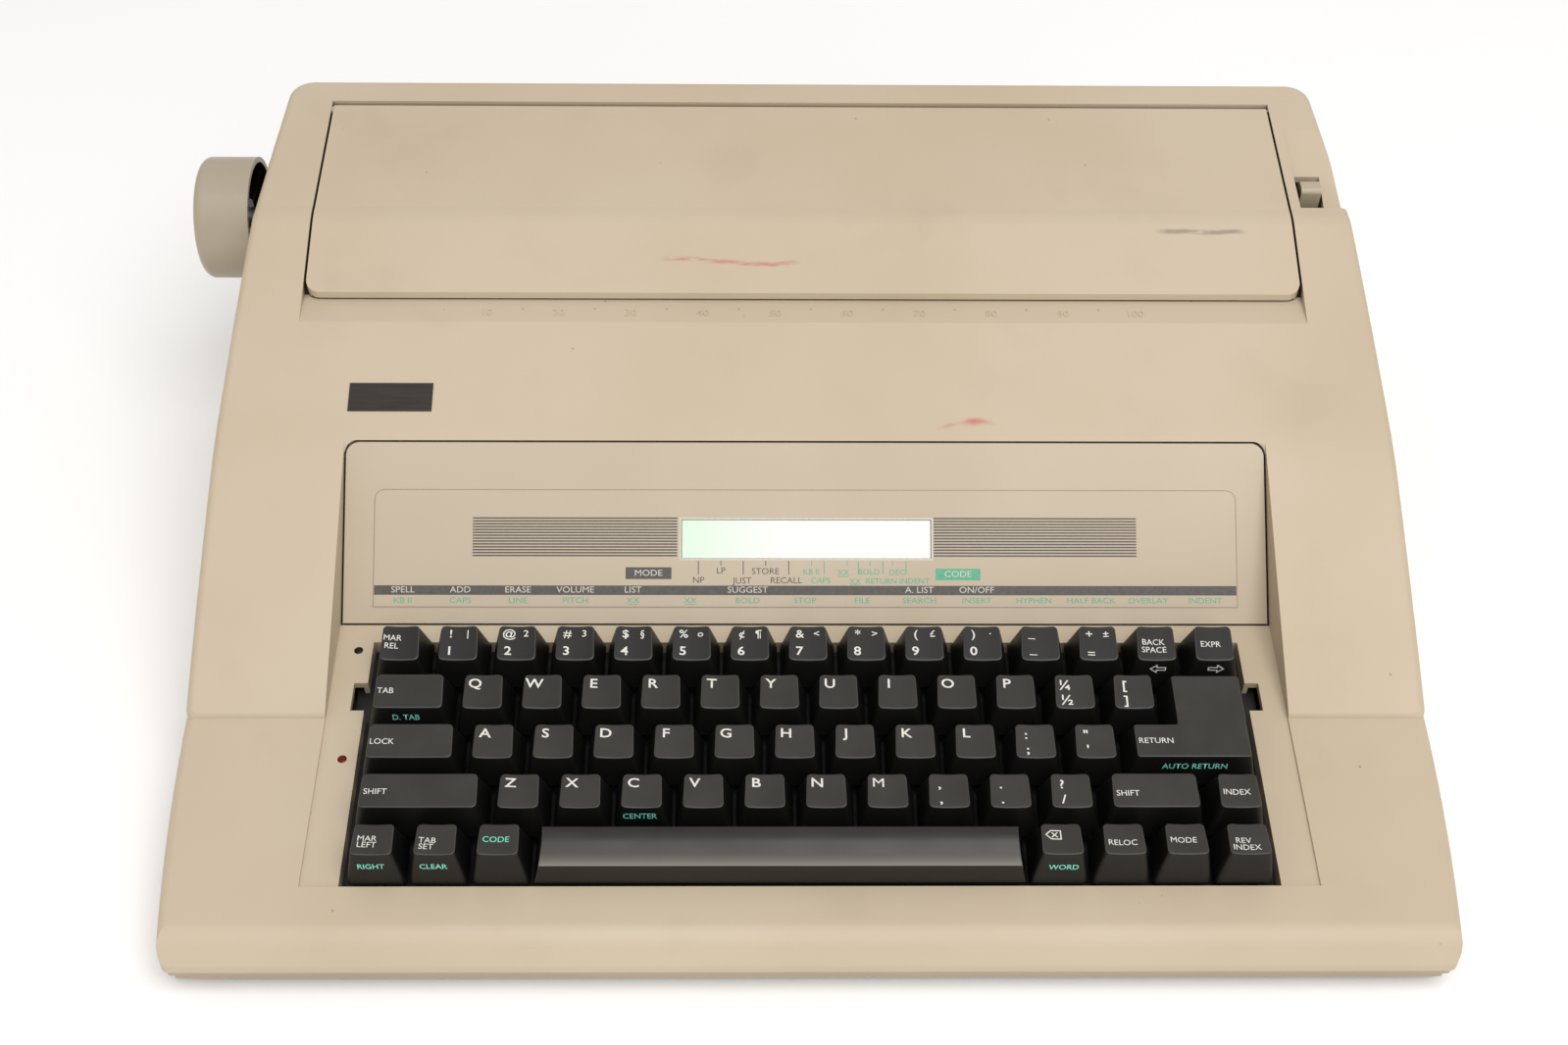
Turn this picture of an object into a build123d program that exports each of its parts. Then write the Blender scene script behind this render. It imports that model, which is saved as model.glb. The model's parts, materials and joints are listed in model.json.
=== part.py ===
from build123d import *
import math
import os

# Electronic typewriter, closed, standing on its feet.
# X runs to the right, Y to the rear, Z up. The table is Z = 0 and X = Y = 0 is the middle of the case.
# The finished pieces are moved a little at the end, so that the origin is below the middle of the whole
# machine, with its knob at the left and its rocker at the rear. All sizes are in millimetres.

# Main sizes that much of the machine follows
half_depth = 165.5
lid_half_width = 176.0
platen_y = half_depth - 45.5
brow_z = 106.9

# Case seen from the side
wall = 2.5
foot_height = 4.0
rim_z = 11.0
shoulder_radius = 3.0
deck_angle = 6.0
deck_start_y = 50.0 - half_depth
deck_start_z = 27.2
nose_y = 5.5 - half_depth
nose_radius = 9.0
nose_lower_z = 14.0
cheek_front_y = 84.1 - half_depth
cheek_step = 1.2
bend_y = 2.1
bend_z = 74.0
bend_radius = 150.0
brow_y = platen_y - 28.5
brow_radius = 20.0
crease_y = platen_y - 24.5
rear_top_z = brow_z + 9.4
below_table = -20.0
above_case = 140.0
beyond_case = 230.0

# Case seen from above
half_width_front = lid_half_width + 21.0
half_width_widest = lid_half_width + 26.6
half_width_rear = lid_half_width + 17.6
widest_y = cheek_front_y + 6.4
front_corner_radius = 3.0
rear_corner_radius = 9.0
least_corner_radius = 1.0

# Keyboard recess and well, in the deck's own frame (x across, s up the slope, h square to it)
recess_half_width = 157.0
recess_depth = 0.8
well_half_width = 145.0
well_front_s = -28.0
well_rear_s = 65.8
well_lip_wall = 1.6
latch_notch_width = 4.5
latch_notch_length = 11.0
latch_notch_s = 43.5

# Keys
key_unit = 19.05
key_gap = 1.05
key_top_front_inset = 2.7
key_top_rear_inset = 3.1
key_top_depth = 12.0
key_top_shift = -0.6
key_corner_radius = 1.0
key_top_h = 12.2
key_skirt_h = -0.5
key_travel = 3.5
dish_radius = 28.0
dish_depth = 0.6
stem_size = 6.0
stem_clearance = 0.3
stem_end_h = -11.0
front_row_trim = 1.8
front_row_top_depth = 11.2
front_row_top_shift = 0.3
bar_front_y = -6.6
bar_front_h = 9.4
bar_flat_y = 2.5
bar_rear_y = 5.9
bar_rear_drop = 0.4
row_count = 5
last_row_s = -20.1
row_tilt = {1: 12.0, 2: 8.0, 3: 5.0, 4: 2.0, 5: -4.0}
row_raise = {1: 0.9, 2: 0.4, 3: 0.2, 4: 1.0, 5: 2.2}
key_block_units = 15.0

# Keyboard plate and switch board
plate_top_h = -6.5
plate_thickness = 1.6
plate_margin = 4.0
chimney_height = 2.0
chimney_wall = 1.8
board_gap = 6.9
board_thickness = 1.6
board_margin = 2.0
standoff_radius = 2.2
standoff_x = 142.5

# Display panel
panel_foot_y = deck_start_y + 72.6
panel_top_y = bend_y + 2.8
panel_thickness = 2.5
panel_gap = 0.7
panel_ledge = 2.0
panel_ledge_width = 5.0
panel_corner_radius = 4.5
window_half_width = 42.3
window_foot_s = 22.7
window_height = 13.3
window_recess = 0.4
glass_clearance = 0.15
module_depth = 7.0
module_border_x = 11.0
module_border_s = 9.0

# Indicator lamps at the left of the well
indicator_x = -149.7
indicator_places = (19.1, 62.4)
indicator_radius = 1.5
indicator_length = 5.5
indicator_rise = 0.3

# Lid and the scoop in front of it
lid_gap = 0.9
lid_front_y = platen_y - 59.7
lid_thickness = 2.4
lid_skirt_depth = 6.0
lid_skirt_wall = 2.0
lid_corner_radius = 5.0
lid_lip = 3.0
scoop_front_y = lid_front_y - 11.3
scoop_rear_y = lid_front_y + 2.7
scoop_rise = 0.9
hinge_y = platen_y + 29.7
hinge_below_top = 2.5
hinge_pin_radius = 2.0
hinge_pin_length = 5.0
hinge_clearance = 0.06
hinge_rear_gap = 0.6
hinge_boss = 5.0
opening_skirt = 12.0
opening_floor_z = 60.0

# Platen and its drive
platen_z = brow_z - 22.6
side_frame_x = lid_half_width - 8.0
platen_radius = 14.0
platen_half_length = side_frame_x - 10.0
shaft_radius = 4.0
knob_radius = 22.5
knob_length = 20.5
knob_skin = 2.0
knob_edge_radius = 3.5
knob_inner_x = -half_width_rear - 9.4
shaft_hole_radius = 7.0
side_frame_thickness = 2.0
shaft_clearance = 0.06
gear_module = 0.8
gear_width = 4.0
platen_teeth = 44
idler_teeth = 24
pinion_teeth = 12
gear_backlash = 0.15
idler_direction = -62.0
pinion_direction = -75.0
idler_pin_radius = 2.0
motor_shaft_radius = 1.5
motor_radius = 15.0
motor_length = 24.0

# Paper path
feed_roller_radius = 5.0
feed_shaft_radius = 2.0
feed_direction = -84.0
feed_roller_length = 36.0
feed_roller_pitch = 70.0
roller_gap = 0.3
pan_gap = 1.3
pan_thickness = 0.8
bail_direction = 128.0
bail_rod_radius = 1.6
bail_roller_radius = 4.5
bail_roller_length = 16.0
bail_roller_pitch = 80.0
bail_half_length = side_frame_x - 8.0
bail_arm_width = 1.5
bail_pivot = (platen_y - 20.0, platen_z + 3.7)
bail_pivot_radius = 2.0

# Carriage
main_rail_y = platen_y - 38.0
main_rail_z = platen_z - 59.3
main_rail_radius = 5.0
front_rail_y = platen_y - 62.0
front_rail_z = platen_z - 28.3
front_rail_radius = 4.0
rail_clearance = 0.06
carriage_half_width = 27.0
carriage_plate = 4.0
cheek_width = 3.0
wheel_radius = 35.0
wheel_hub_radius = 10.0
wheel_drop = 33.0
wheel_gap = 2.3
wheel_thickness = 0.8
petal_count = 48
petal_half_width = 0.6
slug_half_width = 1.3
slug_height = 3.4
wheel_motor_radius = 17.0
wheel_motor_length = 27.0
wheel_shaft_radius = 2.0
bracket_half_width = carriage_half_width - cheek_width
hammer_radius = 6.0
hammer_length = 22.0
hammer_saddle_width = 10.0
striker_radius = 1.5
cassette_y = platen_y - 54.0
cassette_z = platen_z - 2.3
cassette_tilt = 14.0
cassette_half_width = 52.0
cassette_length = 27.0
cassette_height = 8.0
cassette_notch = 9.0
ribbon_arm_x = 28.0
ribbon_height = 6.0

# Belt drive of the carriage
pulley_x = side_frame_x - 18.0
belt_y = platen_y - 56.0
belt_z = main_rail_z + 15.0
belt_thickness = 1.2
belt_width = 6.0
belt_gap = 0.3
pulley_radius = 6.0
pulley_width = 8.0
pulley_pin_radius = 2.0
carriage_motor_radius = 12.5

# Release lever pocket at the right
pocket_inner_x = lid_half_width + 4.5
pocket_rear_y = platen_y + 18.4
pocket_front_y = platen_y - 23.0
pocket_depth = 7.5
slot_inner_x = pocket_inner_x + 1.5
slot_outer_x = slot_inner_x + 9.3
slot_front_y = platen_y - 19.0
slot_rear_y = platen_y - 2.5
lever_y = platen_y - 8.0
lever_z = platen_z - 2.3
lever_hub_radius = 5.0
lever_pin_radius = 2.5

# Screws and posts that join the two halves of the case
boss_radius = 4.5
boss_foot_z = 13.5
screw_radius = 1.5
screw_clearance = 0.2
screw_head_radius = 3.0
screw_head_z = 4.8
screw_seat_z = 7.0

# Base tray, feet, chassis pan and floor level
tray_inset = 1.2
tray_chamfer = 4.0
tray_gap = 0.3
tray_lip = 2.5
floor_vent_length = 40.0
floor_vent_width = 4.0
floor_vent_columns = 4
floor_vent_lines = 6
floor_vent_pitch_x = 60.0
floor_vent_pitch_y = 12.0
floor_vent_front_y = 40.0
floor_z = foot_height + wall
foot_radius = 9.5
foot_x = side_frame_x - 3.0
foot_y = half_depth - 30.5
pan_z = 11.0
pan_sheet = 1.5
pan_margin = 6.0
pan_window = 36.0
pan_window_pitch = 100.0
pan_front_y = main_rail_y - 38.0
pan_rear_y = half_depth - 5.5
frame_flange = 5.0
frame_flange_thickness = 2.0

# Main circuit board and transformer
main_board_left_x = -90.0
main_board_right_x = 120.0
main_board_half_depth = 38.0
main_board_hole_inset = 6.0
transformer_x = 26.0 - side_frame_x
transformer_y = 15.0
core_width = 60.0
core_depth = 34.0
core_height = 41.5
winding_width = 48.0
winding_depth = 50.0
winding_height = 28.0

# Mains inlet, power switch and vents in the rear wall
inlet_x = 46.0 - side_frame_x
inlet_width = 22.0
inlet_height = 16.0
switch_x = 19.0 - side_frame_x
switch_width = 14.0
switch_height = 20.0
socket_z = 30.0
socket_depth = 13.0
socket_flange = 1.5
socket_border = 2.0
socket_wall = 3.0
switch_wall = 1.6
contact_x = 4.3
contact_radius = 1.2
rocker_gap = 0.5
rocker_pin_radius = 1.0
rocker_y = half_depth - 4.0
rocker_rise = 1.2
vent_count = 14
vent_pitch = 9.0
vent_width = 3.0
vent_low_z = 40.0
vent_high_z = 70.0


def deck_z(y):
    """Height of the deck's surface at y."""
    return deck_start_z + math.tan(math.radians(deck_angle)) * (y - deck_start_y)


def slope_z(y):
    """Height of the main slope between the bend and the brow at y."""
    return bend_z + (brow_z - bend_z) / (brow_y - bend_y) * (y - bend_y)


def plateau_z(y):
    """Height of the rear plateau at y."""
    return brow_z + (rear_top_z - brow_z) / (half_depth - crease_y) * (y - crease_y)


deck_plane = Plane(
    origin=(0, deck_start_y, deck_start_z),
    x_dir=(1, 0, 0),
    z_dir=(0, -math.sin(math.radians(deck_angle)), math.cos(math.radians(deck_angle))),
)
panel_foot_z = deck_z(panel_foot_y) - recess_depth
panel_top_z = slope_z(panel_top_y)
panel_angle = math.degrees(math.atan2(panel_top_z - panel_foot_z, panel_top_y - panel_foot_y))
panel_length = math.hypot(panel_top_z - panel_foot_z, panel_top_y - panel_foot_y)
panel_plane = Plane(
    origin=(0, panel_foot_y, panel_foot_z),
    x_dir=(1, 0, 0),
    z_dir=(0, -math.sin(math.radians(panel_angle)), math.cos(math.radians(panel_angle))),
)


def rounded_face(points, rounds=()):
    """Closed flat face through the points; rounds pairs a corner's number with its radius."""
    face = make_face(Polyline(*points, close=True))
    for corner, radius in rounds:
        where = Vector(*points[corner])
        vertex = min(face.vertices(), key=lambda v: (Vector(v.X, v.Y) - where).length)
        face = fillet(vertex, radius)
    return face


def side_prism(face, x_min, x_max):
    """A face drawn in Y and Z, extruded across from x_min to x_max."""
    return Pos(x_min, 0, 0) * extrude(Plane.YZ * face, amount=x_max - x_min)


def block(x_min, x_max, y_min, y_max, z_min, z_max):
    """A box given by its limits."""
    size = (x_max - x_min, y_max - y_min, z_max - z_min)
    middle = ((x_min + x_max) / 2, (y_min + y_max) / 2, (z_min + z_max) / 2)
    return Pos(*middle) * Box(*size)


def rod_x(x_min, x_max, y, z, radius):
    """A round bar along X."""
    return Pos((x_min + x_max) / 2, y, z) * Rot(0, 90, 0) * Cylinder(radius, x_max - x_min)


def rod_y(x, y_min, y_max, z, radius):
    """A round bar along Y."""
    return Pos(x, (y_min + y_max) / 2, z) * Rot(90, 0, 0) * Cylinder(radius, y_max - y_min)


def rod_z(x, y, z_min, z_max, radius):
    """An upright round bar."""
    return Pos(x, y, (z_min + z_max) / 2) * Cylinder(radius, z_max - z_min)


def plan_face(inset=0.0, corners=True):
    """The case's outline from above, with gently bowed sides, drawn in by inset."""
    sides = []
    for side in (-1, 1):
        start = (side * half_width_widest, widest_y)
        sides.append(TangentArc(start, (side * half_width_front, -half_depth), tangent=(0, -1)))
        sides.append(TangentArc(start, (side * half_width_rear, half_depth), tangent=(0, 1)))
    front = Line((-half_width_front, -half_depth), (half_width_front, -half_depth))
    rear = Line((-half_width_rear, half_depth), (half_width_rear, half_depth))
    face = make_face([*sides, front, rear])
    if inset:
        face = offset(face, amount=-inset)
    if corners:
        front_radius = max(front_corner_radius - inset, least_corner_radius)
        face = fillet([v for v in face.vertices() if v.Y < widest_y - 1], front_radius)
        face = fillet([v for v in face.vertices() if v.Y > widest_y + 1], rear_corner_radius - inset)
    return face


def deck_profile():
    """Side view of the low front part: face, nose and deck, run on under the cheeks."""
    points = [
        (-half_depth, below_table),
        (-half_depth, nose_lower_z),
        (nose_y, deck_z(nose_y)),
        (bend_y, deck_z(bend_y)),
        (bend_y, below_table),
    ]
    return rounded_face(points, [(1, wall), (2, nose_radius)])


def top_profile():
    """Side view of the high part: cheek, bend, main slope, brow and rear plateau."""
    points = [
        (cheek_front_y, below_table),
        (cheek_front_y, deck_z(cheek_front_y) + cheek_step),
        (bend_y, bend_z),
        (brow_y, brow_z),
        (crease_y, brow_z),
        (half_depth, rear_top_z),
        (half_depth, below_table),
    ]
    return rounded_face(points, [(2, bend_radius), (3, brow_radius), (4, shoulder_radius - 1)])


def deck_slab():
    """The front part's deck run straight to its ends, with its side edges rounded."""
    points = [
        (-half_depth, below_table),
        (-half_depth, deck_z(-half_depth)),
        (bend_y, deck_z(bend_y)),
        (bend_y, below_table),
    ]
    slab = side_prism(make_face(Polyline(*points, close=True)), -beyond_case, beyond_case)
    slab &= Pos(0, 0, rim_z) * extrude(plan_face(corners=False), amount=above_case)
    long_edges = [e for e in slab.edges() if e.bounding_box().size.Y > half_depth / 2]
    high_edges = [e for e in long_edges if e.center().Z > rim_z + 1]
    return fillet([e for e in high_edges if abs(e.center().X) > recess_half_width], shoulder_radius)


def valley_prism(grow=0.0, under_panel=0.0):
    """The space above the recess and the display panel, widened by grow on its floor and sides."""
    slope = math.radians(panel_angle)
    drop = under_panel
    foot_y = panel_foot_y + drop * math.sin(slope) - grow * math.tan(slope / 2)
    front_y = deck_start_y + well_front_s * math.cos(math.radians(deck_angle)) - grow
    top = (panel_top_y + drop * math.sin(slope), panel_top_z - drop * math.cos(slope))
    floor = recess_depth + grow
    foot = (foot_y, deck_z(foot_y) - floor)
    reach = (top[0] + (above_case - top[1]) / math.tan(slope), above_case)
    points = [(front_y, deck_z(front_y) - floor), foot, top, reach, (front_y, above_case)]
    if not grow:
        points[3] = (top[0], above_case)
    half = recess_half_width + grow
    return side_prism(make_face(Polyline(*points, close=True)), -half, half)


def scoop_prism(grow=0.0):
    """The finger scoop in front of the lid, with its floor nearly level."""
    half = lid_half_width + lid_gap + grow
    floor_z = slope_z(scoop_front_y) - grow
    points = [
        (scoop_front_y, floor_z),
        (scoop_rear_y, floor_z + scoop_rise),
        (scoop_rear_y, above_case),
        (scoop_front_y, above_case),
    ]
    return side_prism(make_face(Polyline(*points, close=True)), -half, half)


def pocket_prism(grow=0.0):
    """The pocket for the release lever, open to the right side."""
    points = [
        (pocket_rear_y, plateau_z(pocket_rear_y) - grow),
        (pocket_front_y, plateau_z(pocket_front_y) - pocket_depth - grow),
        (pocket_front_y - 2.5 - grow, above_case),
        (pocket_rear_y, above_case),
    ]
    face = make_face(Polyline(*points, close=True))
    return side_prism(face, pocket_inner_x - grow, beyond_case)


def well_cut(depth, grow=0.0):
    """The well's opening, cut square to the deck."""
    length = well_rear_s - well_front_s + 2 * grow
    middle = (well_rear_s + well_front_s) / 2
    width = 2 * (well_half_width + grow)
    return deck_plane * (Pos(0, middle, 0) * Box(width, length, 2 * depth))


def shoulder_edges(part):
    """Every edge round the top of the high part, apart from the lines that cross it."""
    chosen = []
    for edge in part.edges():
        centre = edge.center()
        box = edge.bounding_box()
        crosses = box.size.X > 2 * recess_half_width and abs(centre.Y) < half_depth - 1
        front = abs(centre.Y - cheek_front_y) < 1
        if box.max.Z > deck_z(cheek_front_y) + cheek_step - 0.1 and (front or not crosses):
            if box.size.Z < half_depth / 2 or box.size.Y > 1:
                chosen.append(edge)
    return chosen


def well_lip_ring():
    """A lip that hangs down round the well."""
    outer = well_cut(-plate_top_h, well_lip_wall)
    slab = Box(2 * beyond_case, 2 * half_depth, above_case)
    above = deck_plane * (Pos(0, 0, above_case / 2 - recess_depth - wall / 2) * slab)
    return outer - well_cut(1 - plate_top_h) - above


def hinge_z():
    """Height of the lid's hinge line."""
    return plateau_z(hinge_y) - hinge_below_top


def screw_places():
    """Where the screws join the two halves of the case."""
    front = (half_width_front - 27.0, 14.0 - half_depth)
    middle = (half_width_widest - 19.6, cheek_front_y + 61.4)
    rear = (half_width_rear - 6.6, half_depth - 16.0)
    return [(side * x, y) for x, y in (front, middle, rear) for side in (-1, 1)]


def case_outer():
    """The outer form of the upper case as one solid: low deck and high rear part."""
    body_plan = Pos(0, 0, rim_z) * extrude(plan_face(), amount=above_case)
    low = deck_slab() & side_prism(deck_profile(), -beyond_case, beyond_case) & body_plan
    high = side_prism(top_profile(), -beyond_case, beyond_case) & body_plan
    front_edges = [e for e in high.edges() if abs(e.center().Y - cheek_front_y) < 0.5]
    corners = [e for e in front_edges if abs(e.center().X) > lid_half_width]
    high = fillet(corners, shoulder_radius + 1)
    high = fillet(shoulder_edges(high), shoulder_radius)
    return high + low


def case_hollows():
    """The hollows inside the walls, for the low and the high part."""
    inner_plan = Pos(0, 0, below_table) * extrude(plan_face(wall), amount=above_case - below_table)
    low = side_prism(offset(deck_profile(), amount=-wall), -beyond_case, beyond_case) & inner_plan
    low -= block(-beyond_case, beyond_case, cheek_front_y + 6, beyond_case, 0, above_case)
    high = side_prism(offset(top_profile(), amount=-wall), -beyond_case, beyond_case) & inner_plan
    high -= valley_prism(wall, panel_thickness + panel_ledge)
    high -= scoop_prism(wall)
    high -= pocket_prism(wall)
    return low, high


def lid_opening_walls(side):
    """The wall down one side of the opening under the lid, with its hinge boss."""
    edge = lid_half_width + lid_gap
    rear = hinge_y + hinge_below_top + hinge_rear_gap
    inner, outer = sorted((side * edge, side * (edge + lid_skirt_wall)))
    skin = side_prism(top_profile(), inner, outer)
    skin &= block(inner, outer, scoop_front_y, rear, opening_floor_z, above_case)
    skin -= side_prism(offset(top_profile(), amount=-opening_skirt), inner, outer)
    skin -= scoop_prism()
    inner, outer = sorted((side * edge, side * (edge + hinge_pin_length + 2)))
    low_y, high_y = hinge_y - hinge_boss, hinge_y + hinge_boss
    return skin + block(inner, outer, low_y, high_y, hinge_z() - hinge_boss, hinge_z() + 1.5)


def make_upper_case():
    """The upper case: one moulded shell with the deck, cheeks, slope, plateau and walls."""
    outer = case_outer()
    low_hollow, high_hollow = case_hollows()
    shell = outer - low_hollow - high_hollow
    shell -= valley_prism()
    shell -= scoop_prism()
    shell -= pocket_prism()

    # Well with its lip and the two latch notches
    shell += well_lip_ring()
    shell -= well_cut(wall + 2)
    notch = Box(2 * latch_notch_width, latch_notch_length, -2 * plate_top_h)
    for side in (-1, 1):
        shell -= deck_plane * (Pos(side * well_half_width, latch_notch_s, 0) * notch)

    # Seat for the display panel
    shell -= panel_plane * extrude(panel_outline(panel_gap), amount=-panel_thickness)
    below_ledge = -panel_thickness - panel_ledge - 2
    shell -= panel_plane * extrude(panel_outline(-panel_ledge_width), amount=below_ledge)

    # Opening under the lid, with its side walls and the bores for the hinge pins
    for side in (-1, 1):
        shell += lid_opening_walls(side)
    edge = lid_half_width + lid_gap
    rear = hinge_y + hinge_below_top + hinge_rear_gap
    shell -= block(-edge, edge, scoop_rear_y, rear, opening_floor_z, above_case)
    reach = edge + hinge_pin_length + 0.5
    shell -= rod_x(-reach, reach, hinge_y, hinge_z(), hinge_pin_radius + hinge_clearance)

    # Slot for the release lever and hole for the platen shaft
    above_hub = lever_z + 2 * lever_hub_radius
    shell -= block(slot_inner_x, slot_outer_x, slot_front_y, slot_rear_y, above_hub, above_case)
    shell -= rod_x(-beyond_case, -edge, platen_y, platen_z, shaft_hole_radius)

    # Rear wall: mains inlet, power switch and vents
    shell -= wall_cut(inlet_x, inlet_width, socket_z - inlet_height / 2, socket_z + inlet_height / 2)
    shell -= wall_cut(switch_x, switch_width, socket_z - switch_height / 2, socket_z + switch_height / 2)
    for number in range(vent_count):
        middle = (number - (vent_count - 1) / 2) * vent_pitch
        shell -= wall_cut(middle, vent_width, vent_low_z, vent_high_z)

    # Holes for the two indicator lamps
    for s in indicator_places:
        shell -= deck_plane * (Pos(indicator_x, s, 0) * Cylinder(indicator_radius, 2 * indicator_length))

    # Screw posts, which end at the outer surface
    for x, y in screw_places():
        post = rod_z(x, y, boss_foot_z, above_case, boss_radius) & outer
        shell += post - rod_z(x, y, 0, boss_foot_z + 6, screw_radius)
    return shell


def wall_cut(x, width, low_z, high_z):
    """A cut straight through the rear wall."""
    return block(x - width / 2, x + width / 2, half_depth - 9, half_depth + 9, low_z, high_z)


def panel_outline(grow=0.0):
    """Outline of the display panel on its own plane, with the foot at y = 0."""
    half = recess_half_width - panel_gap + grow
    low = panel_gap - grow
    high = panel_length - panel_gap + grow
    points = [(-half, low), (half, low), (half, high), (-half, high)]
    return rounded_face(points, [(2, panel_corner_radius), (3, panel_corner_radius)])


def make_display_panel():
    """The moulded panel that carries the display, with its window."""
    plate = extrude(panel_outline(), amount=-panel_thickness)
    middle = window_foot_s + window_height / 2
    plate -= Pos(0, middle, 0) * Box(2 * window_half_width, window_height, 4 * panel_thickness)
    return panel_plane * plate


def make_lcd_module():
    """The glass in the window and the display unit behind the panel."""
    middle = window_foot_s + window_height / 2
    width = 2 * (window_half_width - glass_clearance)
    height = window_height - 2 * glass_clearance
    depth = panel_thickness - window_recess
    glass = Pos(0, middle, -window_recess - depth / 2) * Box(width, height, depth)
    back = Box(width + 2 * module_border_x, height + 2 * module_border_s, module_depth)
    return panel_plane * (glass + Pos(0, middle, -panel_thickness - module_depth / 2) * back)


def row_s(row):
    """Place of a key row up the deck's slope, at the middle of the key skirts."""
    return last_row_s + (row_count - row) * key_unit


def key_x(units_from_left):
    """Place across the keyboard, counted in key units from its left edge."""
    return (units_from_left - key_block_units / 2) * key_unit


def key_face(front_half, rear_half, depth):
    """Outline of a key on its own middle, which may narrow to the rear, with rounded corners."""
    half = depth / 2
    points = [(-front_half, -half), (front_half, -half), (rear_half, half), (-rear_half, half)]
    return rounded_face(points, [(corner, key_corner_radius) for corner in range(4)])


def key_base(width, row):
    """Skirt outline of a key, with the front row trimmed to clear the well."""
    trim = front_row_trim if row == row_count else 0.0
    return Pos(0, trim / 2, key_skirt_h) * key_face(width / 2, width / 2, key_unit - key_gap - trim)


def key_stem(x, y):
    """The square stem under a key."""
    length = key_skirt_h - stem_end_h + 0.5
    return Pos(x, y, stem_end_h + length / 2) * Box(stem_size, stem_size, length)


def make_key(start, width_units, row):
    """One key with tapered sides, a dished top tilted for its row, and a stem."""
    width = width_units * key_unit - key_gap
    in_front_row = row == row_count
    depth = front_row_top_depth if in_front_row else key_top_depth
    shift = front_row_top_shift if in_front_row else key_top_shift
    tilt = Pos(0, shift, key_top_h + row_raise[row]) * Rot(row_tilt[row], 0, 0)
    front = width / 2 - key_top_front_inset
    rear = width / 2 - key_top_rear_inset
    cap = loft([key_base(width, row), tilt * key_face(front, rear, depth)])
    if width_units < 2:
        dish = Rot(90, 0, 0) * Cylinder(dish_radius, 3 * key_unit)
        if width_units > 1:
            dish = scale(dish, (width_units * 1.4, 1, 1))
        cap -= tilt * Pos(0, 0, dish_radius - dish_depth) * dish
    cap += key_stem(0, 0)
    return deck_plane * (Pos(key_x(start + width_units / 2), row_s(row), 0) * cap)


def make_space_bar(start, width_units, row):
    """The space bar: its top curves down to a low front edge, and it has three stems."""
    width = width_units * key_unit - key_gap
    top_h = key_top_h + row_raise[row]
    half = (key_unit - key_gap) / 2
    foot = (front_row_trim - half, key_skirt_h)
    edge = (bar_front_y, bar_front_h)
    crown = (bar_flat_y, top_h)
    rear = (bar_rear_y, top_h - bar_rear_drop)
    outline = [
        Line(foot, edge),
        TangentArc(crown, edge, tangent=(-1, 0)),
        Line(crown, rear),
        Line(rear, (half, key_skirt_h)),
        Line((half, key_skirt_h), foot),
    ]
    bar = side_prism(make_face(outline), -width / 2, width / 2)
    reach = width / 2 - key_top_rear_inset
    ends = [(-width / 2, key_skirt_h), (width / 2, key_skirt_h), (reach, top_h), (-reach, top_h)]
    bar &= extrude(Plane.XZ * make_face(Polyline(*ends, close=True)), amount=key_unit, both=True)
    for x in (-width / 3, 0, width / 3):
        bar += key_stem(x, 0)
    return deck_plane * (Pos(key_x(start + width_units / 2), row_s(row), 0) * bar)


def return_points(inset_side, inset_front, inset_rear):
    """L outline of the return key: wide in row 3 and narrow in row 2."""
    edge = key_gap / 2
    right = key_x(15) - edge - inset_side
    low_left = key_x(12.75) + edge + inset_side
    high_left = key_x(13.5) + edge + inset_side
    front = row_s(3) - key_unit / 2 + edge + inset_front
    step = row_s(3) + key_unit / 2 - edge - inset_rear
    rear = row_s(2) + key_unit / 2 - edge - inset_rear
    points = [(low_left, front), (right, front), (right, rear)]
    return points + [(high_left, rear), (high_left, step), (low_left, step)]


def make_return_key():
    """The L shaped return key."""
    front_inset = (key_unit - key_gap - key_top_depth) / 2 + key_top_shift
    rear_inset = key_unit - key_gap - key_top_depth - front_inset
    rounds = [(corner, key_corner_radius) for corner in (0, 1, 2, 3, 5)]
    base = Pos(0, 0, key_skirt_h) * rounded_face(return_points(0, 0, 0), rounds)
    top_points = return_points(key_top_front_inset, front_inset, rear_inset)
    top = Pos(0, 0, key_top_h + row_raise[3]) * rounded_face(top_points, rounds)
    cap = loft([base.face(), top.face()])
    cap += key_stem(return_stem_x, row_s(3))
    return deck_plane * cap


return_stem_x = key_x(13.875)

# Keys as (name, left edge in units, width in units, row)
function_keys = [
    ("margin_release_key", 0, 1, 1),
    ("backspace_key", 13, 1, 1),
    ("express_key", 14, 1, 1),
    ("tab_key", 0, 1.5, 2),
    ("lock_key", 0, 1.75, 3),
    ("left_shift_key", 0, 2.25, 4),
    ("right_shift_key", 12.25, 1.75, 4),
    ("index_key", 14, 1, 4),
    ("margin_left_key", 0, 1, 5),
    ("tab_set_key", 1, 1, 5),
    ("code_key", 2, 1, 5),
    ("space_bar", 3, 8, 5),
    ("correction_key", 11, 1, 5),
    ("relocate_key", 12, 1, 5),
    ("mode_key", 13, 1, 5),
    ("reverse_index_key", 14, 1, 5),
]

# Rows of character keys as (name, left edge of the first key in units, how many, row)
character_rows = [
    ("digit_row_keys", 1, 12, 1),
    ("upper_letter_row_keys", 1.5, 12, 2),
    ("home_row_keys", 1.75, 11, 3),
    ("lower_letter_row_keys", 2.25, 10, 4),
]


def stem_places():
    """Places of every key stem on the deck's frame."""
    places = [(return_stem_x, row_s(3))]
    for name, start, width, row in function_keys:
        middle = key_x(start + width / 2)
        places.append((middle, row_s(row)))
        if width > 4:
            third = (width * key_unit - key_gap) / 3
            places += [(middle - third, row_s(row)), (middle + third, row_s(row))]
    for name, start, count, row in character_rows:
        places += [(key_x(start + number + 0.5), row_s(row)) for number in range(count)]
    return places


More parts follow.
